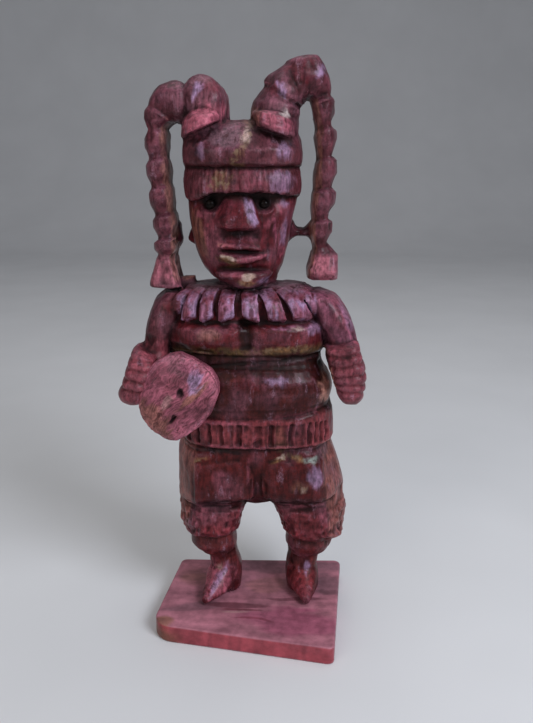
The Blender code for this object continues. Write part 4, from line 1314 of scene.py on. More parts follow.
# A patch: tint, middle across and up, half width, half height, lean in degrees and strength
Patch = tuple[Tint, float, float, float, float, float, float]


def tinted(colour: Array, tint: Tint, weight: Array) -> Array:
    """A colour drawn towards a tint, by each point's weight."""
    return colour + (tint.linear() - colour) * weight[:, None]


def turned(first: Array, second: Array, angle: float) -> tuple[Array, Array]:
    """A pair of coordinates turned by an angle, the first towards the second."""
    cosine, sine = math.cos(angle), math.sin(angle)
    return first * cosine - second * sine, first * sine + second * cosine


def oval_reach(patch: Patch, across: Array, height: Array) -> Array:
    """How far points lie from a patch's middle: 1 is on its rim.

    Args:
        patch: the oval.
        across: the points' places from left to right.
        height: their heights.

    Returns:
        Distances from its middle, along its own axes, over its half width and half height.
    """
    _, middle, middle_height, half, half_height, lean, _ = patch
    along, beside = turned(across - middle, height - middle_height, -math.radians(lean))
    return np.hypot(along / half, beside / half_height)


def patched(
    colour: Array, across: Array, height: Array, patches: tuple[Patch, ...], shown: Array, ragged: Array
) -> Array:
    """Lays soft oval patches of other tints over a colour, one after another.

    Args:
        colour: the colour so far, points by 3.
        across: each point's place from left to right, already wandering a little.
        height: its height, likewise.
        patches: the patches.
        shown: how far a point takes part, from 0 to 1.
        ragged: numbers from -1 to 1 that break up the patches' rims.

    Returns:
        The new colours. A patch counts fully in its inner half and fades to its rim.
    """
    for patch in patches:
        far = oval_reach(patch, across, height) + 0.45 * ragged
        colour = tinted(colour, patch[0], patch[-1] * shown * fade(1.12, 0.62, far))
    return colour


@dataclass(frozen=True)
class FigureTints:
    """Where the figure's shell changes colour, and where shade and highlights are painted on: bands up the
    body, the limbs, and the patches of its front.
    """

    # The DEEP and DARK bands at the creases, at 18.6 to 19.8, 27.9, 39.6 to 41.3 and 66.2 high, are painted
    # shade
    bands: tuple[tuple[float, Tint], ...] = (
        (3.0, Tint.MAROON), (8.5, Tint.CALF), (13.3, Tint.CALF), (14.2, Tint.CUFF), (17.6, Tint.CUFF),
        (18.6, Tint.DEEP), (19.8, Tint.DEEP), (21.0, Tint.BREECH), (27.4, Tint.BREECH), (27.9, Tint.DEEP),
        (28.4, Tint.BELT), (32.4, Tint.BELT), (33.2, Tint.BELLY), (38.6, Tint.BELLY), (39.6, Tint.DARK),
        (41.3, Tint.DARK), (42.0, Tint.OLIVE), (43.0, Tint.CHEST), (45.4, Tint.CHEST), (46.0, Tint.RED),
        (50.0, Tint.RED), (50.6, Tint.MAUVE), (51.0, Tint.MAUVE), (51.6, Tint.MAROON), (61.8, Tint.MAROON),
        (62.6, Tint.FRINGE), (65.6, Tint.FRINGE), (66.2, Tint.DEEP), (66.8, Tint.BAND), (69.0, Tint.BAND),
        (70.5, Tint.MAUVE), (72.5, Tint.HORN), (80.0, Tint.HORN),
    )
    # Scratches down the sleeves: place across of the shoulder and of the wrist, and strength
    sleeve_scratches: tuple[Row, ...] = ((-10.8, -14.0, 0.35), (8.0, 12.6, 0.7))
    front: tuple[Patch, ...] = (
        # horns and tufts; the black under each tuft is painted shadow, and the lavender streaks painted
        # reflections
        (Tint.TUFT, -6.1, 71.8, 3.6, 1.5, 24, 1), (Tint.TUFT, 2.6, 71.4, 3, 1.1, -21, 0.8),
        (Tint.TAN, -0.1, 72, 1.3, 1.5, 0, 0.6), (Tint.WHITE, 3.9, 72.2, 0.45, 0.5, 0, 0.5),
        (Tint.BLACK, -6.2, 69.6, 3.2, 0.5, 22, 0.85), (Tint.BLACK, 2.6, 69.5, 3.2, 0.5, -20, 0.85),
        (Tint.LAVENDER, -7, 75, 0.5, 1.6, -25, 0.7), (Tint.LAVENDER, 3.3, 75.3, 0.35, 1.3, 20, 0.7),
        (Tint.LAVENDER, 8.4, 77.3, 0.55, 1, -15, 0.7), (Tint.DEEP, 5.8, 75.6, 1.7, 1.1, 0, 0.8),
        (Tint.RED, 5.6, 77.2, 1.9, 1.3, 0, 0.6), (Tint.RED, 2.2, 75.4, 0.9, 1.3, 20, 0.5),
        (Tint.DEEP, -9.3, 72.4, 1.8, 0.8, 0, 0.6), (Tint.RED, -5.2, 75.6, 1.3, 0.9, -20, 0.5),
        (Tint.DEEP, -7.9, 74.4, 0.5, 1.4, -15, 0.6), (Tint.MAUVE, -11.6, 74.6, 1.6, 0.8, 20, 0.5),
        # headband, the matrix at its middle, and the fringe; the lavender on them is painted reflection, and
        # the brow-coloured band under the fringe painted shadow
        (Tint.MAUVE, -3.3, 69, 3.4, 1.5, 10, 0.8), (Tint.GREY, -3.9, 69.4, 2.4, 1.2, 15, 0.85),
        (Tint.PALE, -0.9, 69.6, 0.6, 1.3, -20, 0.6), (Tint.GOLD, -1.9, 67.6, 0.6, 1.4, -35, 0.45),
        (Tint.LAVENDER, 3.8, 67.9, 1, 0.9, 0, 0.5), (Tint.LAVENDER, -6.5, 67.9, 0.6, 1.1, 0, 0.35),
        (Tint.OLIVE, -1.8, 66.2, 0.9, 0.5, 0, 0.6), (Tint.GOLD, -4.2, 64.3, 1.5, 1.3, 20, 0.35),
        (Tint.PINK, -6.3, 64, 1.3, 1.4, 0, 0.35), (Tint.PINK, -0.5, 64.2, 1.8, 1.4, 0, 0.4),
        (Tint.LAVENDER, 3.6, 64.3, 1.7, 1.4, 0, 0.35), (Tint.BROW, -1.6, 62.4, 6.8, 0.5, 0, 0.9),
        # face: the brow and black round the eyes, the black under the nose, in the mouth, under the lower lip
        # and under the chin, and the deep beside the chin are painted shade; the lavender, the rim and the
        # thin pink along the upper lip are painted highlights
        (Tint.BROW, -5.5, 61.5, 1.5, 0.95, 0, 0.85), (Tint.BLACK, -5.5, 61.4, 1, 0.7, 0, 0.8),
        (Tint.BROW, 1.4, 61.6, 1.5, 0.95, 0, 0.85), (Tint.BLACK, 1.4, 61.5, 1, 0.7, 0, 0.8),
        (Tint.TAN, -7.3, 57.6, 1, 3.4, 12, 0.55), (Tint.PINK, -6.4, 60, 1.2, 0.6, -8, 0.75),
        (Tint.PINK, 3.6, 60.9, 1, 0.7, -10, 0.6), (Tint.LAVENDER, 3.8, 61.4, 0.7, 0.4, 0, 0.5),
        (Tint.PINK, 3.4, 56.8, 0.6, 2.8, -10, 0.5), (Tint.LAVENDER, 3.9, 57.8, 0.3, 1.9, -8, 0.4),
        (Tint.PINK, -5.3, 58.4, 1.2, 2, 12, 0.35), (Tint.RED, -1.8, 60.2, 1.4, 1.6, 0, 0.4),
        (Tint.LAVENDER, -0.35, 60.5, 0.6, 2, 24, 0.7), (Tint.PINK, -5.9, 56.4, 0.35, 2.2, 22, 0.5),
        (Tint.MAGENTA, 2.7, 58.6, 0.22, 1.5, 6, 0.45), (Tint.PINK, 1.8, 59, 0.4, 1.1, -32, 0.5),
        (Tint.PINK, 3.9, 55.4, 0.4, 1.5, -14, 0.55), (Tint.RIM, -3.9, 56.35, 1.1, 0.15, -5, 0.8),
        (Tint.BLACK, -1.7, 57.9, 2.2, 0.42, 0, 0.8), (Tint.PINK, -3.4, 56.3, 1.5, 0.22, -5, 0.7),
        (Tint.BLACK, -1.5, 55.4, 2.5, 0.24, -5, 0.8), (Tint.PINK, -0.4, 54.6, 2, 0.5, 8, 0.85),
        (Tint.GOLD, -3.2, 54.4, 1.4, 0.5, -16, 0.8), (Tint.PALE, -3.1, 54.75, 1.2, 0.34, -16, 0.9),
        (Tint.OLIVE, -2.8, 53.3, 1.6, 0.4, 0, 0.75), (Tint.BLACK, -1.2, 52.95, 2.3, 0.3, 0, 0.7),
        (Tint.PINK, -2.6, 52.3, 1.5, 0.3, 0, 0.6), (Tint.PALE, -0.8, 52.2, 0.9, 0.45, 0, 0.65),
        (Tint.GOLD, -0.9, 51.3, 1, 0.6, 0, 0.6), (Tint.DEEP, -2.9, 51.4, 1, 0.7, 0, 0.6),
        (Tint.LAVENDER, 1.3, 51.7, 0.9, 0.6, 35, 0.6), (Tint.BLACK, -0.9, 50.2, 3.4, 0.45, 0, 0.9),
        # chest and belly; the black under the collar, in the cleft and in the waist's crease and the dark in
        # the cleft are painted shade; the petal and pale line along the chest roll, the lavender, the mauve
        # and lavender across the belly and the rim on the waist's right are painted highlights and light
        (Tint.PINK, -8.8, 44.6, 1.3, 1, 0, 0.4), (Tint.MAUVE, -6.6, 44.9, 1.9, 0.7, 0, 0.6),
        (Tint.BLACK, -1.2, 46.05, 9.6, 0.42, 0, 0.75), (Tint.PETAL, 4.8, 45.35, 2.6, 0.18, 0, 0.8),
        (Tint.PALE, 5.6, 45.3, 0.9, 0.16, 0, 0.6), (Tint.RIM, -6, 44.6, 1.6, 0.7, 0, 0.35),
        (Tint.MAUVE, 2.6, 44.2, 2.6, 0.6, 0, 0.35), (Tint.LAVENDER, 8, 44.9, 1, 0.8, 0, 0.4),
        (Tint.DARK, -1.15, 44.5, 1.3, 2.6, 0, 0.95), (Tint.BLACK, -1.15, 44.9, 0.7, 1.6, 0, 0.5),
        (Tint.GOLD, 4.2, 42.5, 4, 0.55, 0, 0.75), (Tint.OLIVE, -4, 42.3, 4, 0.5, -4, 0.7),
        (Tint.BLACK, 2, 40.6, 8, 0.7, 2, 0.55), (Tint.MAUVE, 2.6, 38.3, 4.6, 0.9, -2, 0.45),
        (Tint.LAVENDER, 3.2, 38.4, 2.6, 0.45, -2, 0.5), (Tint.RIM, 9.9, 36.9, 1.2, 3, 0, 0.9),
        (Tint.RED, -1, 37.8, 2.5, 0.8, 0, 0.4),
        # belt and breeches; the black in the creases is painted shade, and the lavender on the right side
        # painted reflection
        (Tint.PINK, 5.5, 33.2, 4.5, 0.35, 8, 0.5), (Tint.OLIVE, 3.4, 28.6, 1.6, 0.8, 0, 0.5),
        (Tint.TAN, 3.6, 30.4, 0.9, 1.4, 0, 0.3), (Tint.PINK, -8, 32, 8, 0.4, 2, 0.6),
        (Tint.PINK, -1.2, 28.7, 8, 0.35, 0, 0.5), (Tint.BLACK, -4.6, 27.7, 3.6, 0.35, 0, 0.8),
        (Tint.GOLD, 3.4, 26.7, 1.5, 0.32, 32, 0.85), (Tint.PALE, 3.9, 27.1, 0.7, 0.25, 20, 0.8),
        (Tint.GOLD, 5.8, 26.8, 1.2, 0.35, -25, 0.85), (Tint.BLUE_GREEN, 7.9, 26.4, 1.3, 0.4, 0, 0.8),
        (Tint.GREY, 9.4, 27.2, 1, 1.2, 0, 0.6), (Tint.GOLD, -8, 26.4, 1.4, 0.25, 20, 0.5),
        (Tint.PINK, -0.9, 24.6, 0.25, 2.4, 0, 0.5), (Tint.PINK, -5, 23.6, 1, 1.8, -10, 0.3),
        (Tint.LAVENDER, 8.6, 24.2, 1.1, 1.8, 0, 0.5), (Tint.TAN, 6.3, 22.6, 1.6, 0.8, 10, 0.4),
        (Tint.PALE, 7, 22.1, 0.5, 0.3, 30, 0.5), (Tint.BLACK, -5, 19.9, 3.8, 0.6, 0, 0.55),
        (Tint.BLACK, 5.6, 20.2, 4, 0.5, -4, 0.6), (Tint.PINK, 5.6, 18.9, 3.4, 0.3, 5, 0.6),
        (Tint.PINK, -8.3, 18.6, 1.4, 0.5, -10, 0.5), (Tint.CORAL, -5.6, 15, 3.2, 0.8, 0, 0.45),
        (Tint.CORAL, 4.6, 14.4, 2.2, 0.6, 0, 0.45), (Tint.BREECH, 7.2, 16.2, 2.6, 1.4, 0, 0.5),
        # boots; the lavender on them is painted reflection
        (Tint.TUFT, -5.9, 6, 2.4, 2.4, 0, 0.8), (Tint.LAVENDER, -5.5, 6, 2.4, 0.55, 50, 0.65),
        (Tint.PALE, -5.6, 7.3, 0.5, 0.4, 0, 0.4), (Tint.DARK, 6.2, 8.2, 1.8, 0.9, 0, 0.6),
        (Tint.CORAL, 6.8, 5.2, 1.8, 2, 0, 0.45), (Tint.LAVENDER, 7.6, 7.3, 0.5, 0.8, 0, 0.6),
        # arms and fists; the lavender on the right sleeve is painted reflection, the deep on the left arm's
        # inner side painted shade, and the grey along the shoulders painted sheen
        (Tint.LAVENDER, 12.4, 46.6, 0.45, 2.2, 25, 0.5), (Tint.PINK, 11.6, 47.2, 1.6, 2.8, 25, 0.45),
        (Tint.DEEP, -11.6, 45.2, 1, 3.4, -5, 0.5), (Tint.GREY, -6.6, 50.5, 3.4, 0.5, 0, 0.7),
        (Tint.GREY, 4.9, 50.5, 3.6, 0.5, 0, 0.7), (Tint.RIM, -9.2, 51.4, 1.2, 0.5, 0, 0.6),
        (Tint.RED, -11.8, 47.8, 0.9, 0.9, 30, 0.5),
    )

    def colour(self, points: Array, normals: Array, petals: Array) -> Array:
        """The figure's colour at each point, with its painted shade and highlights.

        Args:
            points: the places, in drawing millimetres.
            normals: the outward directions.
            petals: how far each point belongs to the collar's petals.

        Returns:
            Colours as light, points by 3.
        """
        warped = points + 0.26 * drift(points, 1.0, 81) + 0.14 * drift(points, 0.4, 84)
        across, height = warped[:, 0], warped[:, 2]
        stops = np.array([stop for stop, _ in self.bands])
        tints = np.array([tint.linear() for _, tint in self.bands])
        colour = np.stack([np.interp(height, stops, tints[:, channel]) for channel in range(3)], axis=1)
        from_head = np.abs(across + 1.8)
        left_flank = fade(-8.4, -8.9, across + 0.14 * (24.0 - height))
        right_flank = fade(9.5, 10.0, across - 0.10 * (24.0 - height))
        upper = plateau(height, 43.5, 7.0, 0.5)
        left = fade(-10.8, -11.4, across - 0.26 * (height - 43.0)) * upper
        right = fade(9.1, 9.7, across + 0.40 * (height - 43.0)) * upper
        threads = cloud(points, (0.35, 0.5, 2.2), 98)
        inner = -np.sign(across + 1.8) * normals[:, 0] * fade(8.2, 8.8, from_head) * fade(50, 51, height)
        hanging = fade(7.9, 8.4, from_head)
        sunlit = fade(-0.1, 0.35, normals[:, 0] * np.sign(0.5 - across))
        limbs = (
            (Tint.PETAL, petals),
            # Painted highlight: lavender on the petals' faces that turn towards the middle
            (Tint.LAVENDER, petals * sunlit * 0.7),
            (Tint.LAVENDER, petals * fade(0.0, 0.4, threads) * 0.75),
            (Tint.CHEST, petals * fade(-0.10, -0.5, threads) * 0.8),
            (Tint.RED, petals * fade(48.4, 49.8, height) * 0.5),
            (Tint.PLAIT, hanging * fade(50.2, 50.8, height) + fade(72.0, 74.0, height) * 0.5),
            (Tint.TASSEL, hanging * plateau(height, 52.2, 1.9, 0.8) * 0.95),
            (Tint.ARM, np.maximum(left, right) * (1.0 - petals)),
            (Tint.SLEEVE, right * fade(42.0, 43.0, height) * (1.0 - petals)),
            (Tint.FIST, fade(10.6, 11.2, np.abs(across + 0.9)) * plateau(height, 39.0, 4.0, 0.6) * 0.9),
            # Painted light on the breeches' outer sides
            (Tint.SIDE, np.maximum(left_flank, right_flank) * plateau(height, 21.0, 7.4, 0.5) * 0.9),
            # Painted highlight: mauve on the shoulders' tops where they face up
            (Tint.MAUVE, fade(0.3, 0.8, normals[:, 2]) * fade(50.0, 51.0, height) * 0.5),
            # Painted light on the plaits' inner walls, which face the head
            (Tint.RIM, fade(0.5, 0.85, inner) * 0.6),
        )
        for tint, weight in limbs:
            colour = tinted(colour, tint, np.clip(weight, 0, 1))
        blots = cloud(points, 2.4, 97)
        for tint, way in ((Tint.MAUVE, 1.0), (Tint.DEEP, -1.0)):
            colour = tinted(colour, tint, fade(way * 0.1, way * 0.6, blots) * 0.45 * (1.0 - 0.7 * petals))
        colour = tinted(colour, Tint.PLAIT, fade(0.1, 0.6, normals[:, 1]) * 0.4)
        for root, foot, strength in self.sleeve_scratches:
            lean = np.array([foot - root, 0.0, -9.0]) / math.hypot(foot - root, 9.0)
            along = points @ lean
            scratches = cloud(points - along[:, None] * lean * 0.9, 0.42, 87)
            sleeve = plateau(across, (root + foot) / 2, 3.2, 0.8) * plateau(height, 46.2, 3.6, 0.6)
            sleeve = sleeve * fade(9.0, 9.8, np.abs(across + 0.9))
            colour = colour * (1.0 + strength * scratches * sleeve)[:, None]
        ragged = cloud(points, (0.34, 0.5, 1.7), 88) * 0.7 + cloud(points, 0.5, 89) * 0.4
        return patched(colour, across, height, self.front, fade(0.35, -0.15, normals[:, 1]), ragged)


def paint(mesh: bpy.types.Mesh, tone: Array, marks: Array) -> None:
    """Stores a colour and three marks at each of a mesh's points.

    Args:
        mesh: the mesh.
        tone: colours as light.
        marks: how golden each point is, how far it is lightened at an edge, by wear and painted highlight,
            and how far it is darkened in a hollow, as painted shade, from 0 to 1.
    """
    for name, values in (("tone", tone), ("marks", marks)):
        layer = mesh.color_attributes.new(name, "FLOAT_COLOR", "POINT")
        full = np.concatenate([np.clip(values, 0.0, 1.0), np.ones((len(values), 1))], axis=1)
        layer.data.foreach_set("color", full.astype(np.float32).reshape(-1))


def edge_scuff_and_recess_shade(mesh: bpy.types.Mesh) -> tuple[Array, Array]:
    """How far each point stands out of, and lies below, its neighbourhood.

    Args:
        mesh: the mesh, in place.

    Returns:
        Shares from 0 to 1: how far an edge is lightened, partly as wear and partly as painted highlight, and
            how far a hollow is darkened as painted shade. Both compare a point with the average of the points
            round it,
        along its outward direction: a narrow average for the edges, and a narrow and a wide one for hollows.
    """
    points, normals, edges = read_points(mesh) / MILLIMETRE, read_normals(mesh), read_edges(mesh)
    narrow = ((points - spread(edges, points, 3)) * normals).sum(axis=1)
    wide = ((points - spread(edges, points, 30)) * normals).sum(axis=1)
    scuff_and_sheen = np.clip((narrow - 0.014) / 0.034, 0.0, 1.0)
    recess_shade = np.clip(-narrow / 0.030, 0.0, 1.0) * 0.6 + np.clip(-wide / 0.16, 0.0, 1.0) * 0.8
    return spread(edges, scuff_and_sheen, 1), spread(edges, np.clip(recess_shade, 0.0, 1.0), 1)


@dataclass(frozen=True)
class Figure:
    """The whole standing figure, carved in one."""

    torso: Torso = field(default_factory=Torso)
    collar: Collar = field(default_factory=Collar)
    head: Head = field(default_factory=Head)
    plaits: tuple[Plait, ...] = (LEFT_PLAIT, RIGHT_PLAIT)
    web: Web = field(default_factory=Web)
    arms: tuple[Arm, ...] = (LEFT_ARM, RIGHT_ARM)
    belt: Belt = field(default_factory=Belt)
    legs: tuple[Leg, ...] = (LEFT_LEG, RIGHT_LEG)
    tints: FigureTints = field(default_factory=FigureTints)

    def skins(self) -> list[Skin]:
        """Every form of the figure, still overlapping.

        Returns:
            Their closed skins.
        """
        skins = self.torso.skins() + self.collar.skins(self.torso) + self.head.skins() + self.web.skins()
        skins += self.belt.skins() + [Sweep(HIPS).skin(), Sweep(FLAKE, step=0.1).skin()]
        for limb in self.plaits + self.arms + self.legs:
            skins += limb.skins()
        return skins

    def plain_share(self, points: Array) -> Array:
        """How far each point lies in the plain parts, away from the face, the fringe and other fine work.

        Args:
            points: the places, in drawing millimetres.

        Returns:
            1 in plain parts, and down to 0 in fine ones.
        """
        across, depth, height = points.T
        front = fade(-2.0, -4.0, depth)
        fine = plateau(height, 58.5, 7.7, 0.3) * fade(8.4, 7.9, np.abs(across + 1.8))
        fine = np.maximum(fine, plateau(height, 48.2, 2.4, 0.3) * front)
        fine = np.maximum(fine, plateau(height, 30.4, 2.4, 0.3))
        fine = np.maximum(fine, plateau(height, 15.8, 2.0, 0.3) * 0.7)
        hands = fade(10.4, 11.0, np.abs(across + 0.9)) * fade(43.0, 42.0, height) * fade(33.0, 34.0, height)
        return 1.0 - np.maximum(fine, hands * 0.75)

    def pared(self, points: Array, normals: Array) -> Array:
        """The hand-cut surface: shallow flats, a slow waver, and upright fibres that stand a little proud.

        Args:
            points: the joined surface, in drawing millimetres.
            normals: its outward directions.

        Returns:
            The moved points, none below the soles.
        """
        points = hand_cut(points, normals, self.plain_share(points), 460, 0.10, 7)
        waver = 0.05 * cloud(points, 1.7, 71) + 0.03 * cloud(points, 0.8, 72)
        fibre = 0.030 * cloud(points, (0.42, 0.42, 2.6), 73)
        points = points + normals * (waver + fibre - 0.05)[:, None]
        points[:, 2] = np.maximum(points[:, 2], DRAWN_SOLE)
        return points

    def build(self) -> bpy.types.Mesh:
        """Joins the forms into one closed skin, pares it, thins it and paints it.

        Returns:
            The figure's mesh, in place.
        """
        points, quads, triangles = joined(self.skins())
        mesh = mesh_of("figure_carving", (placed(points), quads, triangles))
        mesh = worked(mesh, "REMESH", mode="VOXEL", voxel_size=VOXEL * MILLIMETRE, adaptivity=0.0)
        edges = read_edges(mesh)
        points = spread(edges, drawn(read_points(mesh)), 2)
        points = self.pared(points, read_normals(mesh))
        write_points(mesh, placed(points))
        mesh.calc_loop_triangles()
        share = min(1.0, FIGURE_TRIANGLES / len(mesh.loop_triangles))
        log.info("figure: %d triangles before it is thinned", len(mesh.loop_triangles))
        mesh = worked(mesh, "DECIMATE", ratio=share, use_collapse_triangulate=True)
        mesh.name = "figure_carving"
        points, normals = drawn(read_points(mesh)), read_normals(mesh)
        scuff_and_sheen, recess_shade = edge_scuff_and_recess_shade(mesh)
        golden = self.golden(points) * fade(0.3, -0.2, normals[:, 1])
        colour = self.tints.colour(points, normals, self.petal_share(points))
        paint(mesh, colour, np.stack([golden, scuff_and_sheen, recess_shade], axis=1))
        return mesh

    def petal_share(self, points: Array) -> Array:
        """How far each point belongs to the collar: at its height, and proud of the trunk's skin.

        Args:
            points: the places, in drawing millimetres.

        Returns:
            1 on the petals and 0 off them.
        """
        across, depth, height = points.T
        reach = {way: skin_reach(self.torso.stations, across, height, way) for way in (-1.0, 1.0)}
        proud = np.where(depth < 0, reach[-1.0] - depth, depth - reach[1.0])
        return fade(0.15, 0.5, proud) * plateau(height, 48.3, 2.1, 0.4) * plateau(across, -1.0, 9.1, 0.5)

    def golden(self, points: Array) -> Array:
        """Where gold-brown matrix shows in the front: its veins, from the gold and pale patches, which
        include the pale painted highlight along the chest roll.

        Args:
            points: the places, in drawing millimetres.

        Returns:
            1 within half a vein's reach, falling to 0 at one and a half times it.
        """
        veins = [patch for patch in self.tints.front if patch[0] in (Tint.GOLD, Tint.PALE)]
        reach = [oval_reach(patch, points[:, 0], points[:, 2]) for patch in veins]
        return fade(1.5, 0.5, np.min(reach, axis=0))


# The cosine of 45 degrees, to three figures: the disc's grain slants by it
DIAGONAL = 0.707


@dataclass(frozen=True)
class Disc:
    """The oval disc held at the hip: hand-cut outline, domed faces pared into flats, and two pits."""

    middle: Row = (-10.1, -7.4, 36.5)
    turn: float = -8.0
    tilt: float = -3.0
    half_rim: float = 0.85
    dome: float = 1.25
    outline: tuple[Row, ...] = (
        (0.1, 6.05), (2.4, 5.1), (4.45, 3.85), (5.45, 2.2), (5.5, 0.7), (4.5, -2.2), (2.8, -4.3),
        (1.1, -5.6), (-0.1, -6.35), (-1.8, -6.2), (-3.85, -4.9), (-5.1, -3.25), (-5.55, -1.8), (-5.4, 0.8),
        (-4.6, 3), (-3, 4.7), (-1.35, 5.65),
    )
    # The black over the two pits is painted shade; the lavender is a painted reflection
    patches: tuple[Patch, ...] = (
        (Tint.TAN, -3.6, -3.4, 2.4, 3.4, 40, 0.65), (Tint.TAN, 2.2, 0.3, 3, 0.55, 42, 0.7),
        (Tint.GREY, 1, 4, 3.4, 1.4, -30, 0.35), (Tint.LAVENDER, 2.6, 2.5, 1, 1.9, -12, 0.7),
        (Tint.PLAIT, 3.6, -1.6, 1.6, 2, 0, 0.6), (Tint.MAGENTA, 1.9, 3.9, 1.6, 0.8, -20, 0.4),
        (Tint.PALE, -1.3, -0.6, 0.5, 1.4, -35, 0.25), (Tint.PINK, -0.5, 1.8, 0.8, 1.8, -35, 0.4),
        (Tint.PLAIT, -2.6, 2.4, 1.6, 0.6, -40, 0.5), (Tint.DEEP, -1.8, -1.8, 0.35, 1.6, -40, 0.5),
        (Tint.BLACK, 0.6, 0.7, 0.5, 0.75, -10, 0.9), (Tint.BLACK, -0.5, -3, 0.95, 0.32, 45, 0.9),
        (Tint.DEEP, 0.9, -2.4, 0.8, 0.5, 40, 0.5),
    )

    def build(self) -> bpy.types.Mesh:
        """Works the disc out as rings from the middle of its front, over the rim, to the middle of its back.

        Returns:
            The disc's mesh, in place. A point lies at its ring's share of the outline's radius in its own
            direction; the faces rise by the dome times 1 less the share to the power 2.6.
        """
        marks = np.array(self.outline + self.outline[:1])
        run = np.concatenate([[0.0], np.cumsum(np.linalg.norm(np.diff(marks, axis=0), axis=1))])
        at = np.linspace(0, run[-1], 300, endpoint=False)
        rim = np.stack([np.interp(at, run, marks[:, 0]), np.interp(at, run, marks[:, 1])], axis=1)
        rim = (2 * rim + sum(np.roll(rim, shift, 0) for shift in (2, -2, 4, -4))) / 6
        turn, radius = np.arctan2(rim[:, 1], rim[:, 0]), np.hypot(rim[:, 0], rim[:, 1])
        face = np.sqrt(np.linspace(0.0004, 0.94, 52))
        edge = np.linspace(0, math.pi, 14)
        share = np.concatenate([face, 0.97 + 0.03 * np.sin(edge), face[::-1]])[:, None]
        rise = np.concatenate([np.ones(52), np.cos(edge), -np.ones(52)])[:, None]
        dome = self.dome * (1.0 - np.clip(share, 0, 1) ** 2.6) * np.sign(rise) * (np.abs(rise) > 0.99)
        across, up = radius * share * np.cos(turn), radius * share * np.sin(turn)
        out = -(self.half_rim * rise + dome) + 0.0 * across
        mesh = mesh_of("held_disc", grid_skin(np.stack([across, out, up], axis=-1)))
        flat, normals = read_points(mesh), read_normals(mesh)
        flat = hand_cut(flat, normals, np.ones(len(flat)), 40, 0.16, 17)
        across, out, up = flat.T
        front = fade(0.0, -0.4, out)
        rising, falling = (across + up) * DIAGONAL, (across - up) * DIAGONAL
        pit = 0.55 * hollow(across, 0.6, 0.42) * hollow(up, 0.7, 0.62)
        pit += 0.50 * hollow(rising, -3.5 * DIAGONAL, 0.85) * hollow(falling, 2.5 * DIAGONAL, 0.22)
        grain = np.stack([falling, out, rising], axis=1)
        scratch = 0.05 * cloud(grain, (0.30, 0.5, 2.2), 91) + 0.04 * cloud(flat, 0.8, 92)
        flat = flat + normals * (scratch - pit * front)[:, None]
        write_points(mesh, self.stood(flat))
        scuff_and_sheen, recess_shade = edge_scuff_and_recess_shade(mesh)
        warped = flat + 0.25 * drift(flat, 0.9, 93)
        colour = np.tile(Tint.DISC.linear(), (len(flat), 1))
        ragged = 0.7 * cloud(grain, (0.34, 0.5, 1.7), 96)
        colour = patched(colour, warped[:, 0], warped[:, 2], self.patches, front, ragged)
        # Painted highlight along the rim, laid into the edge mark
        rim = plateau(np.abs(flat[:, 1]), 0.85, 0.22, 0.2) * 0.8
        paint(mesh, colour, np.stack([0.0 * scuff_and_sheen, np.maximum(scuff_and_sheen, rim), recess_shade], axis=1))
        return mesh

    def stood(self, flat: Array) -> Array:
        """Turns and tilts the disc's own points, and sets them at its middle in the frame.

        Args:
            flat: the points, with the disc's faces upright.

        Returns:
            The points in metres.
        """
        tilt, turn = math.radians(self.tilt), math.radians(self.turn)
        across, out, up = flat.T
        out, up = turned(out, up, tilt)
        across, out = turned(across, out, turn)
        return placed(np.stack([across, out, up], axis=1) + np.array(self.middle))


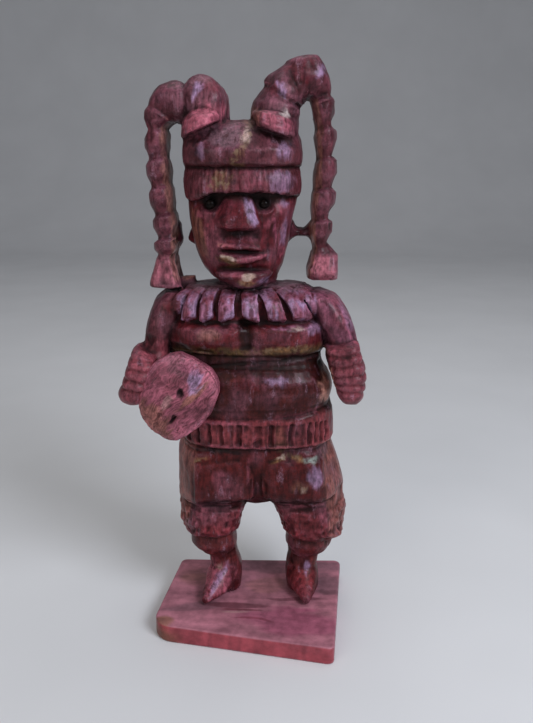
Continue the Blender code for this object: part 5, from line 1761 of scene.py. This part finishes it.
@dataclass(frozen=True)
class Plinth:
    """The slab: four sides, none quite square, soft edges and one abraded corner, with wavy growth lines.

    Its sizes are in millimetres from the middle of its underside.
    """

    corners: tuple[Row, ...] = ((-11.9, 11.6, 0.9), (-14.5, -6.0, 3.2), (11.5, -11.6, 0.9), (14.5, 11.2, 0.9))
    thickness: float = 2.7
    edge: float = 0.42
    patches: tuple[Patch, ...] = (
        (Tint.GREY, 4, 9.6, 12, 2.4, -3, 0.6), (Tint.OLIVE, -9.6, 7, 2.6, 2, -15, 0.35),
        (Tint.TAN, -8.8, 5.6, 2.6, 1.8, -15, 0.3), (Tint.TAN, 2.4, 4, 3.2, 2.4, 0, 0.35),
        (Tint.GREY, 12.4, 4, 3, 2.6, -10, 0.6), (Tint.GREY, -8.6, -1.8, 4.6, 1.2, 6, 0.5),
        (Tint.MAGENTA, 6, -5.2, 9, 3.4, -8, 0.75), (Tint.PLAIT, -2.6, -1.4, 5.4, 0.7, -3, 0.7),
        (Tint.PLAIT, 6.2, 0.2, 6.4, 0.55, -4, 0.6), (Tint.RED, -1.2, -2.5, 3.8, 0.35, -6, 0.6),
        (Tint.RED, 0.6, -5, 3.6, 0.3, -8, 0.5), (Tint.PALE, -2.6, -3.1, 2.2, 0.3, -4, 0.25),
        (Tint.TAN, -13, -5.4, 1.8, 1.6, 0, 0.8),
    )

    def outline(self, count: int) -> Array:
        """The slab's outline: its corners rounded by arcs, read off evenly.

        Args:
            count: how many points.

        Returns:
            The points, count by 2, running round once.
        """
        places = np.array(self.corners)[:, :2]
        arcs = []
        for index, (*corner, radius) in enumerate(self.corners):
            before, after = places[index - 1] - corner, places[(index + 1) % 4] - corner
            before, after = before / np.linalg.norm(before), after / np.linalg.norm(after)
            half = math.acos(float(before @ after)) / 2
            centre = corner + (before + after) / np.linalg.norm(before + after) * radius / math.sin(half)
            start, end = (corner + way * radius / math.tan(half) - centre for way in (before, after))
            share = np.linspace(0, 1, 16)[:, None]
            arm = start * (1 - share) + end * share
            arcs.append(centre + arm / np.linalg.norm(arm, axis=1)[:, None] * radius)
        line = np.concatenate(arcs + [arcs[0][:1]])
        run = np.concatenate([[0.0], np.cumsum(np.linalg.norm(np.diff(line, axis=0), axis=1))])
        at = np.linspace(0, run[-1], count, endpoint=False)
        return np.stack([np.interp(at, run, line[:, 0]), np.interp(at, run, line[:, 1])], axis=1)

    def build(self) -> bpy.types.Mesh:
        """Works the slab out as rings: from the underside's middle, up the side, to the middle of the top.

        Returns:
            The slab's mesh, in place. Each ring is the outline scaled towards its middle, and set in by the
            rounding of the edge.
        """
        outline = self.outline(460)
        bend = np.linspace(0, math.pi / 2, 9)
        top = self.thickness
        under = [(share, 0.0, 0.0) for share in np.linspace(0.02, 0.97, 14)]
        low = [(1.0, self.edge * (1 - math.sin(a)), self.edge * (1 - math.cos(a))) for a in bend]
        wall = [(1.0, 0.0, height) for height in np.linspace(self.edge, top - self.edge, 9)[1:-1]]
        high = [(1.0, self.edge * (1 - math.cos(a)), top - self.edge * (1 - math.sin(a))) for a in bend]
        over = [(share, self.edge, top) for share in np.linspace(0.985, 0.01, 66)]
        rows = np.array(under + low + wall + high + over)[:, :, None]
        middle = outline.mean(axis=0)
        arm = outline - middle
        reach = np.linalg.norm(arm, axis=1)[None, :]
        share = rows[:, 0] * (1.0 - rows[:, 1] / reach)
        x, y = middle[0] + share * arm[:, 0], middle[1] + share * arm[:, 1]
        grid = np.stack([x, y, rows[:, 2] + 0.0 * x], axis=-1)
        mesh = mesh_of("plinth_slab", grid_skin(grid))
        flat, normals = read_points(mesh), read_normals(mesh)
        side = fade(0.8, 0.3, np.abs(normals[:, 2]))
        chatter = 0.05 * cloud(flat, (0.7, 0.7, 6.0), 101) * side
        waver = 0.05 * (1 - side) * (0.5 + 0.5 * cloud(flat, 4.0, 102))
        upper = fade(0.5, 1.5, flat[:, 2])
        flat = flat + normals * ((chatter - waver) * upper - 0.06 * side)[:, None]
        write_points(mesh, flat * MILLIMETRE)
        scuff_and_sheen, recess_shade = edge_scuff_and_recess_shade(mesh)
        across = flat[:, 0] + 1.2 * cloud(flat, 5.0, 103)
        back = flat[:, 1] + 0.55 * cloud(flat, (4.0, 2.0, 9.0), 104)
        colour = np.tile(Tint.PLINTH.linear(), (len(flat), 1))
        ragged = 0.6 * cloud(flat, (3.0, 0.8, 3.0), 106)
        colour = patched(colour, across, back, self.patches, np.ones(len(flat)), ragged)
        wave = np.stack([0.05 * across, back + 0.08 * across, 0 * side], axis=1)
        growth = cloud(wave, (1.0, 1.9, 1.0), 105) + 0.4 * cloud(wave, (1.0, 0.7, 1.0), 107)
        colour = colour * (1.0 + 0.20 * growth * fade(7.0, 1.0, flat[:, 1]))[:, None]
        front = side * fade(-0.2, -0.7, normals[:, 1])
        grain = 1.0 + 0.25 * cloud(flat, (0.6, 3.0, 9.0), 108)
        colour = colour + (Tint.WALL.linear() * grain[:, None] * 1.05 - colour) * (front * 0.85)[:, None]
        corner = fade(-9.0, -12.5, flat[:, 0]) * fade(-2.0, -4.5, flat[:, 1]) * fade(2.6, 0.8, flat[:, 2])
        colour = tinted(colour, Tint.TAN, corner * 0.8)
        paint(mesh, colour, np.stack([0 * scuff_and_sheen, scuff_and_sheen * 0.8, 0 * scuff_and_sheen], axis=1))
        return mesh


@dataclass(frozen=True)
class Eye:
    """One inlaid eye: a smooth dome on a short peg.

    Args:
        node: the CAD node that it stands for.
        across: its drawn place from left to right.
        height: its drawn height.
        front: how far forward its dome reaches.
    """

    node: str
    across: float
    height: float = 61.4
    front: float = 5.3
    radius: float = 0.64
    deep: float = 1.0

    def build(self) -> bpy.types.Mesh:
        """Rings from the dome's middle to the peg's back: half a flattened ball before a straight wall.

        Returns:
            The eye's mesh, in place.
        """
        angle = np.linspace(0.02, math.pi / 2, 24)
        wide = np.concatenate([np.sin(angle), [1.0, 0.9, 0.05]])[:, None] * self.radius
        out = np.concatenate([0.5 * np.cos(angle), [-0.4, -0.5, -0.5]])[:, None]
        turn = np.linspace(0, 2 * math.pi, 48, endpoint=False)
        x, z = self.across + wide * np.cos(turn), self.height + wide * np.sin(turn)
        y = -self.front + 0.5 - self.deep * out + 0.0 * x
        return mesh_of(f"{self.node}_inlay", grid_skin(placed(np.stack([x, y, z], axis=-1))))


Sockets = dict[str | int, object]


@dataclass
class Graph:
    """A material's nodes, added one after another."""

    material: bpy.types.Material

    @classmethod
    def named(cls, name: str) -> "Graph":
        """A new material with only its shader.

        Args:
            name: its name.

        Returns:
            The graph that adds to it.
        """
        material = bpy.data.materials.new(name)
        material.use_nodes = True
        return cls(material)

    def add(self, kind: str, inputs: Sockets | None = None, **settings: object) -> bpy.types.Node:
        """Adds a node.

        Args:
            kind: its kind, without the leading ShaderNode.
            inputs: what goes into its sockets: other nodes' outputs or plain values.
            settings: its own options.

        Returns:
            The node.
        """
        node = self.material.node_tree.nodes.new("ShaderNode" + kind)
        for name, value in settings.items():
            setattr(node, name, value)
        self.feed(node, inputs or {})
        return node

    def feed(self, node: bpy.types.Node, inputs: Sockets) -> None:
        """Wires or sets the sockets of a node.

        Args:
            node: the node.
            inputs: another node's output or a plain value for each socket.
        """
        for name, value in inputs.items():
            if isinstance(value, bpy.types.NodeSocket):
                self.material.node_tree.links.new(value, node.inputs[name])
            else:
                node.inputs[name].default_value = value

    def noise(self, vector: bpy.types.NodeSocket, pitch: float, detail: float = 3.0) -> bpy.types.NodeSocket:
        """Noise with features of one pitch, in millimetres."""
        inputs = {"Vector": vector, "Scale": 1.0 / (pitch * MILLIMETRE), "Detail": detail, "Roughness": 0.6}
        return self.add("TexNoise", inputs).outputs["Fac"]

    def remap(self, value: bpy.types.NodeSocket, low: float, high: float, to: Row) -> bpy.types.NodeSocket:
        """A value stretched from one range to another, and held at its ends."""
        inputs = {"Value": value, "From Min": low, "From Max": high, "To Min": to[0], "To Max": to[1]}
        return self.add("MapRange", inputs).outputs["Result"]

    def maths(self, operation: str, *values: object) -> bpy.types.NodeSocket:
        """One sum, product or the like of values."""
        return self.add("Math", dict(enumerate(values)), operation=operation).outputs[0]

    def times(self, first: object, second: object) -> bpy.types.NodeSocket:
        """The product of two values."""
        return self.maths("MULTIPLY", first, second)

    def object_place(self) -> bpy.types.NodeSocket:
        """The point's place in the piece's own coordinates."""
        return self.add("TexCoord").outputs["Object"]

    def attribute(self, name: str) -> bpy.types.NodeSocket:
        """A colour that the mesh stores at its points."""
        return self.add("Attribute", attribute_name=name).outputs["Color"]

    def dimmed(self, colour: object, factor: object) -> bpy.types.NodeSocket:
        """A colour multiplied by a factor or by another colour."""
        return self.mix(1.0, colour, factor, "MULTIPLY")

    def shade(self, **sockets: object) -> bpy.types.Material:
        """Feeds the shader, whose sockets are named with underscores for spaces.

        Args:
            sockets: what goes into each.

        Returns:
            The material.
        """
        shader = self.material.node_tree.nodes["Principled BSDF"]
        self.feed(shader, {name.replace("_", " "): value for name, value in sockets.items()})
        return self.material

    def mix(self, factor: object, first: object, second: object, blend: str = "MIX") -> bpy.types.NodeSocket:
        """One colour laid over another.

        Args:
            factor: how far the second shows.
            first: the colour below.
            second: the colour above.
            blend: how the second is laid.

        Returns:
            The mixed colour.
        """
        node = self.add("Mix", data_type="RGBA", blend_type=blend)
        self.feed(node, {0: factor, 6: first, 7: second})
        return node.outputs[2]


# Shell colours as light: pale streaks, dark veins, gold-brown matrix, and the gain and bloom of lightened
# edges, partly wear and partly painted highlight
PALE_STREAK = (0.26, 0.14, 0.19, 1.0)
DARK_VEIN = (0.04, 0.006, 0.008, 1.0)
MATRIX = (0.20, 0.135, 0.08, 1.0)
SCUFF_SHEEN_GAIN = (2.2, 2.1, 2.1, 1.0)
SCUFF_SHEEN_BLOOM = (0.34, 0.16, 0.21, 1.0)


@dataclass(frozen=True)
class ShellFinish:
    """Polished shell: the painted tone, broken up by fibres, mottling, pale streaks and dark veins, lightened
    at edges by wear and painted highlight, and darkened in hollows by painted shade.

    Args:
        name: the material's name.
        lean: the fibres' lean from upright, in degrees, in the front plane.
        pitch: the fibres' width in millimetres.
        contrast: how strongly the fibres show.
        gloss: the roughness of the most polished places.
        flat: whether the fibres run across a level face instead of up an upright one.
        stretch: how many times longer than wide the fibres are, up an upright face.
        clouds: how strongly the mottling shows.
        swirl: how far the fibres wander off their run.
        even: how far an even grain takes the fibres' place.
    """

    name: str
    lean: float = 0.0
    pitch: float = 0.34
    contrast: float = 1.0
    gloss: float = 0.28
    flat: bool = False
    stretch: float = 4.0
    clouds: float = 0.24
    swirl: float = 0.0
    even: float = 0.0

    def material(self) -> bpy.types.Material:
        """Every pattern reads Object coordinates and the tone and marks attributes.

        Returns:
            The material.
        """
        graph = Graph.named(self.name)
        place = graph.object_place()
        tone = graph.attribute("tone")
        marks = graph.add("SeparateColor", {0: graph.attribute("marks")})
        golden, scuff_and_sheen, recess_shade = (marks.outputs[index] for index in range(3))
        grain = self.grain(graph, place)
        fibre = graph.noise(grain, self.pitch, 4.0)
        if self.even:
            round_grain = graph.times(graph.noise(place, self.pitch * 1.8, 4.0), self.even)
            fibre = graph.maths("MULTIPLY_ADD", fibre, 1.0 - self.even, round_grain)
        streak = graph.noise(grain, self.pitch * 3.1, 3.0)
        mottle = graph.noise(place, 1.9, 5.0)
        speck = graph.noise(place, 0.22, 2.0)
        span = 0.42 * self.contrast
        colour = graph.dimmed(tone, graph.remap(fibre, 0.38, 0.63, (1.0 - span, 1.0 + 1.1 * span)))
        cloudy = (1.0 - self.clouds, 1.0 + self.clouds)
        colour = graph.dimmed(colour, graph.remap(mottle, 0.36, 0.64, cloudy))
        thin = graph.remap(streak, 0.60, 0.70, (0.0, 0.50 * self.contrast))
        thin = graph.times(thin, graph.remap(speck, 0.42, 0.58, (0.2, 1.0)))
        colour = graph.mix(thin, colour, PALE_STREAK)
        vein = graph.noise(grain, self.pitch * 2.2, 2.0)
        colour = graph.mix(graph.remap(vein, 0.42, 0.33, (0.0, 0.60 * self.contrast)), colour, DARK_VEIN)
        crumb = graph.remap(graph.noise(place, 0.75, 5.0), 0.50, 0.60, (0.0, 0.70))
        colour = graph.mix(graph.times(golden, crumb), colour, MATRIX)
        # Edges lighten: partly wear, partly painted highlight, as along the disc's rim
        scuff_sheen_share = graph.times(scuff_and_sheen, graph.remap(speck, 0.35, 0.6, (0.10, 0.50)))
        bright = graph.mix(0.45, graph.dimmed(colour, SCUFF_SHEEN_GAIN), SCUFF_SHEEN_BLOOM)
        colour = graph.mix(scuff_sheen_share, colour, bright)
        # Painted shade: hollows darken down to 0.3 of their colour
        colour = graph.dimmed(colour, graph.remap(recess_shade, 0.0, 1.0, (1.0, 0.30)))
        polish = graph.remap(mottle, 0.35, 0.65, (self.gloss, self.gloss + 0.14))
        dull = graph.maths("ADD", graph.times(golden, 0.18), graph.times(recess_shade, 0.35))
        relief = graph.maths("ADD", fibre, graph.times(speck, 0.5))
        bump = graph.add("Bump", {"Height": relief, "Strength": 0.35, "Distance": 0.10 * MILLIMETRE})
        return graph.shade(
            Base_Color=colour,
            Roughness=graph.maths("ADD", polish, dull),
            Normal=bump.outputs["Normal"],
            Specular_IOR_Level=0.16,
        )

    def grain(self, graph: Graph, place: bpy.types.NodeSocket) -> bpy.types.NodeSocket:
        """The place squeezed along the fibres' run, turned by their lean and swirled.

        Args:
            graph: the material's nodes.
            place: the point's place.

        Returns:
            The place at which the fibres' noise is read.
        """
        scale = (4.0, 1.0, 1.0) if self.flat else (1.0, 1.0, self.stretch)
        mapping = {"Vector": place, "Rotation": (0.0, math.radians(self.lean), 0.0), "Scale": scale}
        grain = graph.add("Mapping", mapping, vector_type="TEXTURE").outputs["Vector"]
        if not self.swirl:
            return grain
        wander = graph.add("TexNoise", {"Vector": place, "Scale": 300.0, "Detail": 2.0}).outputs["Color"]
        shift = {0: wander, 1: (self.swirl * MILLIMETRE,) * 3, 2: grain}
        return graph.add("VectorMath", shift, operation="MULTIPLY_ADD").outputs[0]


@dataclass(frozen=True)
class JetFinish:
    """Glossy black inlay with a faint brown cloud."""

    name: str = "jet_inlay"

    def material(self) -> bpy.types.Material:
        """One cloud of noise sets the tone, and another range of it the gloss.

        Returns:
            The material.
        """
        graph = Graph.named(self.name)
        cloudy = graph.noise(graph.object_place(), 0.5, 3.0)
        share = graph.remap(cloudy, 0.4, 0.65, (0.0, 1.0))
        return graph.shade(
            Base_Color=graph.mix(share, (0.004, 0.003, 0.003, 1.0), (0.012, 0.008, 0.007, 1.0)),
            Roughness=graph.remap(cloudy, 0.35, 0.65, (0.10, 0.16)),
            Specular_IOR_Level=0.05,
        )


def new_piece(mesh: bpy.types.Mesh, material: bpy.types.Material, node: str) -> bpy.types.Object:
    """Puts a finished mesh into the scene in place of a CAD node.

    Args:
        mesh: its mesh, in place, with the piece's name.
        material: its finish.
        node: the CAD node that it stands for.

    Returns:
        The new object, riding on the root.
    """
    mesh.materials.clear()
    mesh.materials.append(material)
    mesh.shade_smooth()
    piece = linked(mesh.name, mesh)
    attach(piece, "root")
    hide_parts(node)
    points = read_points(mesh) / MILLIMETRE
    low, high = points.min(axis=0).round(2), points.max(axis=0).round(2)
    log.info("%s: %d faces, %s to %s mm", mesh.name, len(mesh.polygons), low, high)
    return piece


# The height that the lamps face, in metres, and the width of the camera's film, in millimetres
LAMP_AIM = 0.045
FILM_WIDTH = 36.0


@dataclass(frozen=True)
class Lamp:
    """A soft square lamp that faces the carving.

    Args:
        place: where it hangs, in metres.
        size: its side.
        power: its strength, in watts.
        colour: its light.
    """

    place: Row
    size: float
    power: float
    colour: Row

    def hang(self) -> None:
        """Puts the lamp into the scene."""
        light = bpy.data.lights.new("soft lamp", "AREA")
        light.size, light.energy, light.color = self.size, self.power, self.colour
        holder = linked("soft lamp", light)
        across, depth, height = self.place
        drop = height - LAMP_AIM
        holder.location = self.place
        holder.rotation_euler = (math.atan2(math.hypot(across, depth), drop), 0.0, math.atan2(across, -depth))


@dataclass(frozen=True)
class Studio:
    """A pale floor that curves up far behind, soft lamps, and the camera at the photo's height and tilt."""

    camera_place: Row = (0.0022, -0.09535, 0.06696)
    camera_tilt: float = 74.3
    lens: float = FILM_WIDTH * 720.0 / 723.0
    lamps: tuple[Lamp, ...] = (
        Lamp((0.16, -0.17, 0.20), 0.12, 0.62, (0.86, 0.90, 1.0)),
        Lamp((-0.16, -0.24, 0.16), 0.20, 0.22, (1.0, 0.95, 0.90)),
        Lamp((0.02, 0.06, 0.40), 0.30, 0.45, (0.97, 0.98, 1.0)),
    )

    def floor(self) -> None:
        """A level floor whose profile bends up into a wall, carried from side to side."""
        bend = np.linspace(0, math.pi / 2, 24)
        reach, radius, half = 0.42, 0.20, 2.5
        depth = np.concatenate([[-2.0], reach + radius * np.sin(bend), [reach + radius]])
        height = np.concatenate([[0.0], radius * (1 - np.cos(bend)), [1.2]])
        across = np.array([-half, half])[:, None]
        grid = np.stack([across + 0 * depth, depth + 0 * across, height + 0 * across], axis=-1)
        count = len(depth)
        index = np.arange(count - 1)
        faces = np.stack([index, index + count, index + count + 1, index + 1], axis=1)
        mesh = bpy.data.meshes.new("floor")
        mesh.from_pydata(grid.reshape(-1, 3).tolist(), [], faces.tolist())
        mesh.shade_smooth()
        graph = Graph.named("paper")
        mottle = graph.remap(graph.noise(graph.object_place(), 40.0, 2.0), 0.3, 0.7, (0.0, 1.0))
        colour = graph.mix(mottle, (0.66, 0.66, 0.66, 1.0), (0.70, 0.70, 0.70, 1.0))
        mesh.materials.append(graph.shade(Base_Color=colour, Roughness=0.9))
        floor = linked("floor", mesh)

    def build(self) -> None:
        """Sets the whole studio up."""
        self.floor()
        for lamp in self.lamps:
            lamp.hang()
        scene = bpy.context.scene
        scene.world = bpy.data.worlds.new("studio")
        scene.world.use_nodes = True
        background = scene.world.node_tree.nodes["Background"]
        background.inputs["Color"].default_value = (0.62, 0.64, 0.70, 1.0)
        background.inputs["Strength"].default_value = 0.30
        lens = bpy.data.cameras.new("camera")
        lens.sensor_width, lens.lens, lens.clip_start = FILM_WIDTH, self.lens, MILLIMETRE
        camera = linked("camera", lens)
        camera.location = self.camera_place
        camera.rotation_euler = (math.radians(self.camera_tilt), 0.0, 0.0)
        scene.camera = camera
        scene.view_settings.view_transform = "Standard"


def main() -> None:
    """Builds the studio and the pieces in order."""
    logging.basicConfig(level=logging.INFO, format="%(message)s")
    Studio().build()
    carved = ShellFinish("carved_shell", contrast=1.15, even=0.5)
    new_piece(Figure().build(), carved.material(), "figure")
    pale = ShellFinish(
        "disc_shell", lean=42.0, pitch=0.24, contrast=0.95, gloss=0.30, stretch=9.0, clouds=0.40, swirl=2.4
    )
    new_piece(Disc().build(), pale.material(), "disc")
    slab = ShellFinish("slab_shell", pitch=1.3, contrast=0.22, gloss=0.34, flat=True)
    new_piece(Plinth().build(), slab.material(), "plinth")
    jet = JetFinish().material()
    for node, across in (("eye_left", -5.6), ("eye_right", 1.3)):
        new_piece(Eye(node, across).build(), jet, node)


if __name__ == "__main__":
    main()
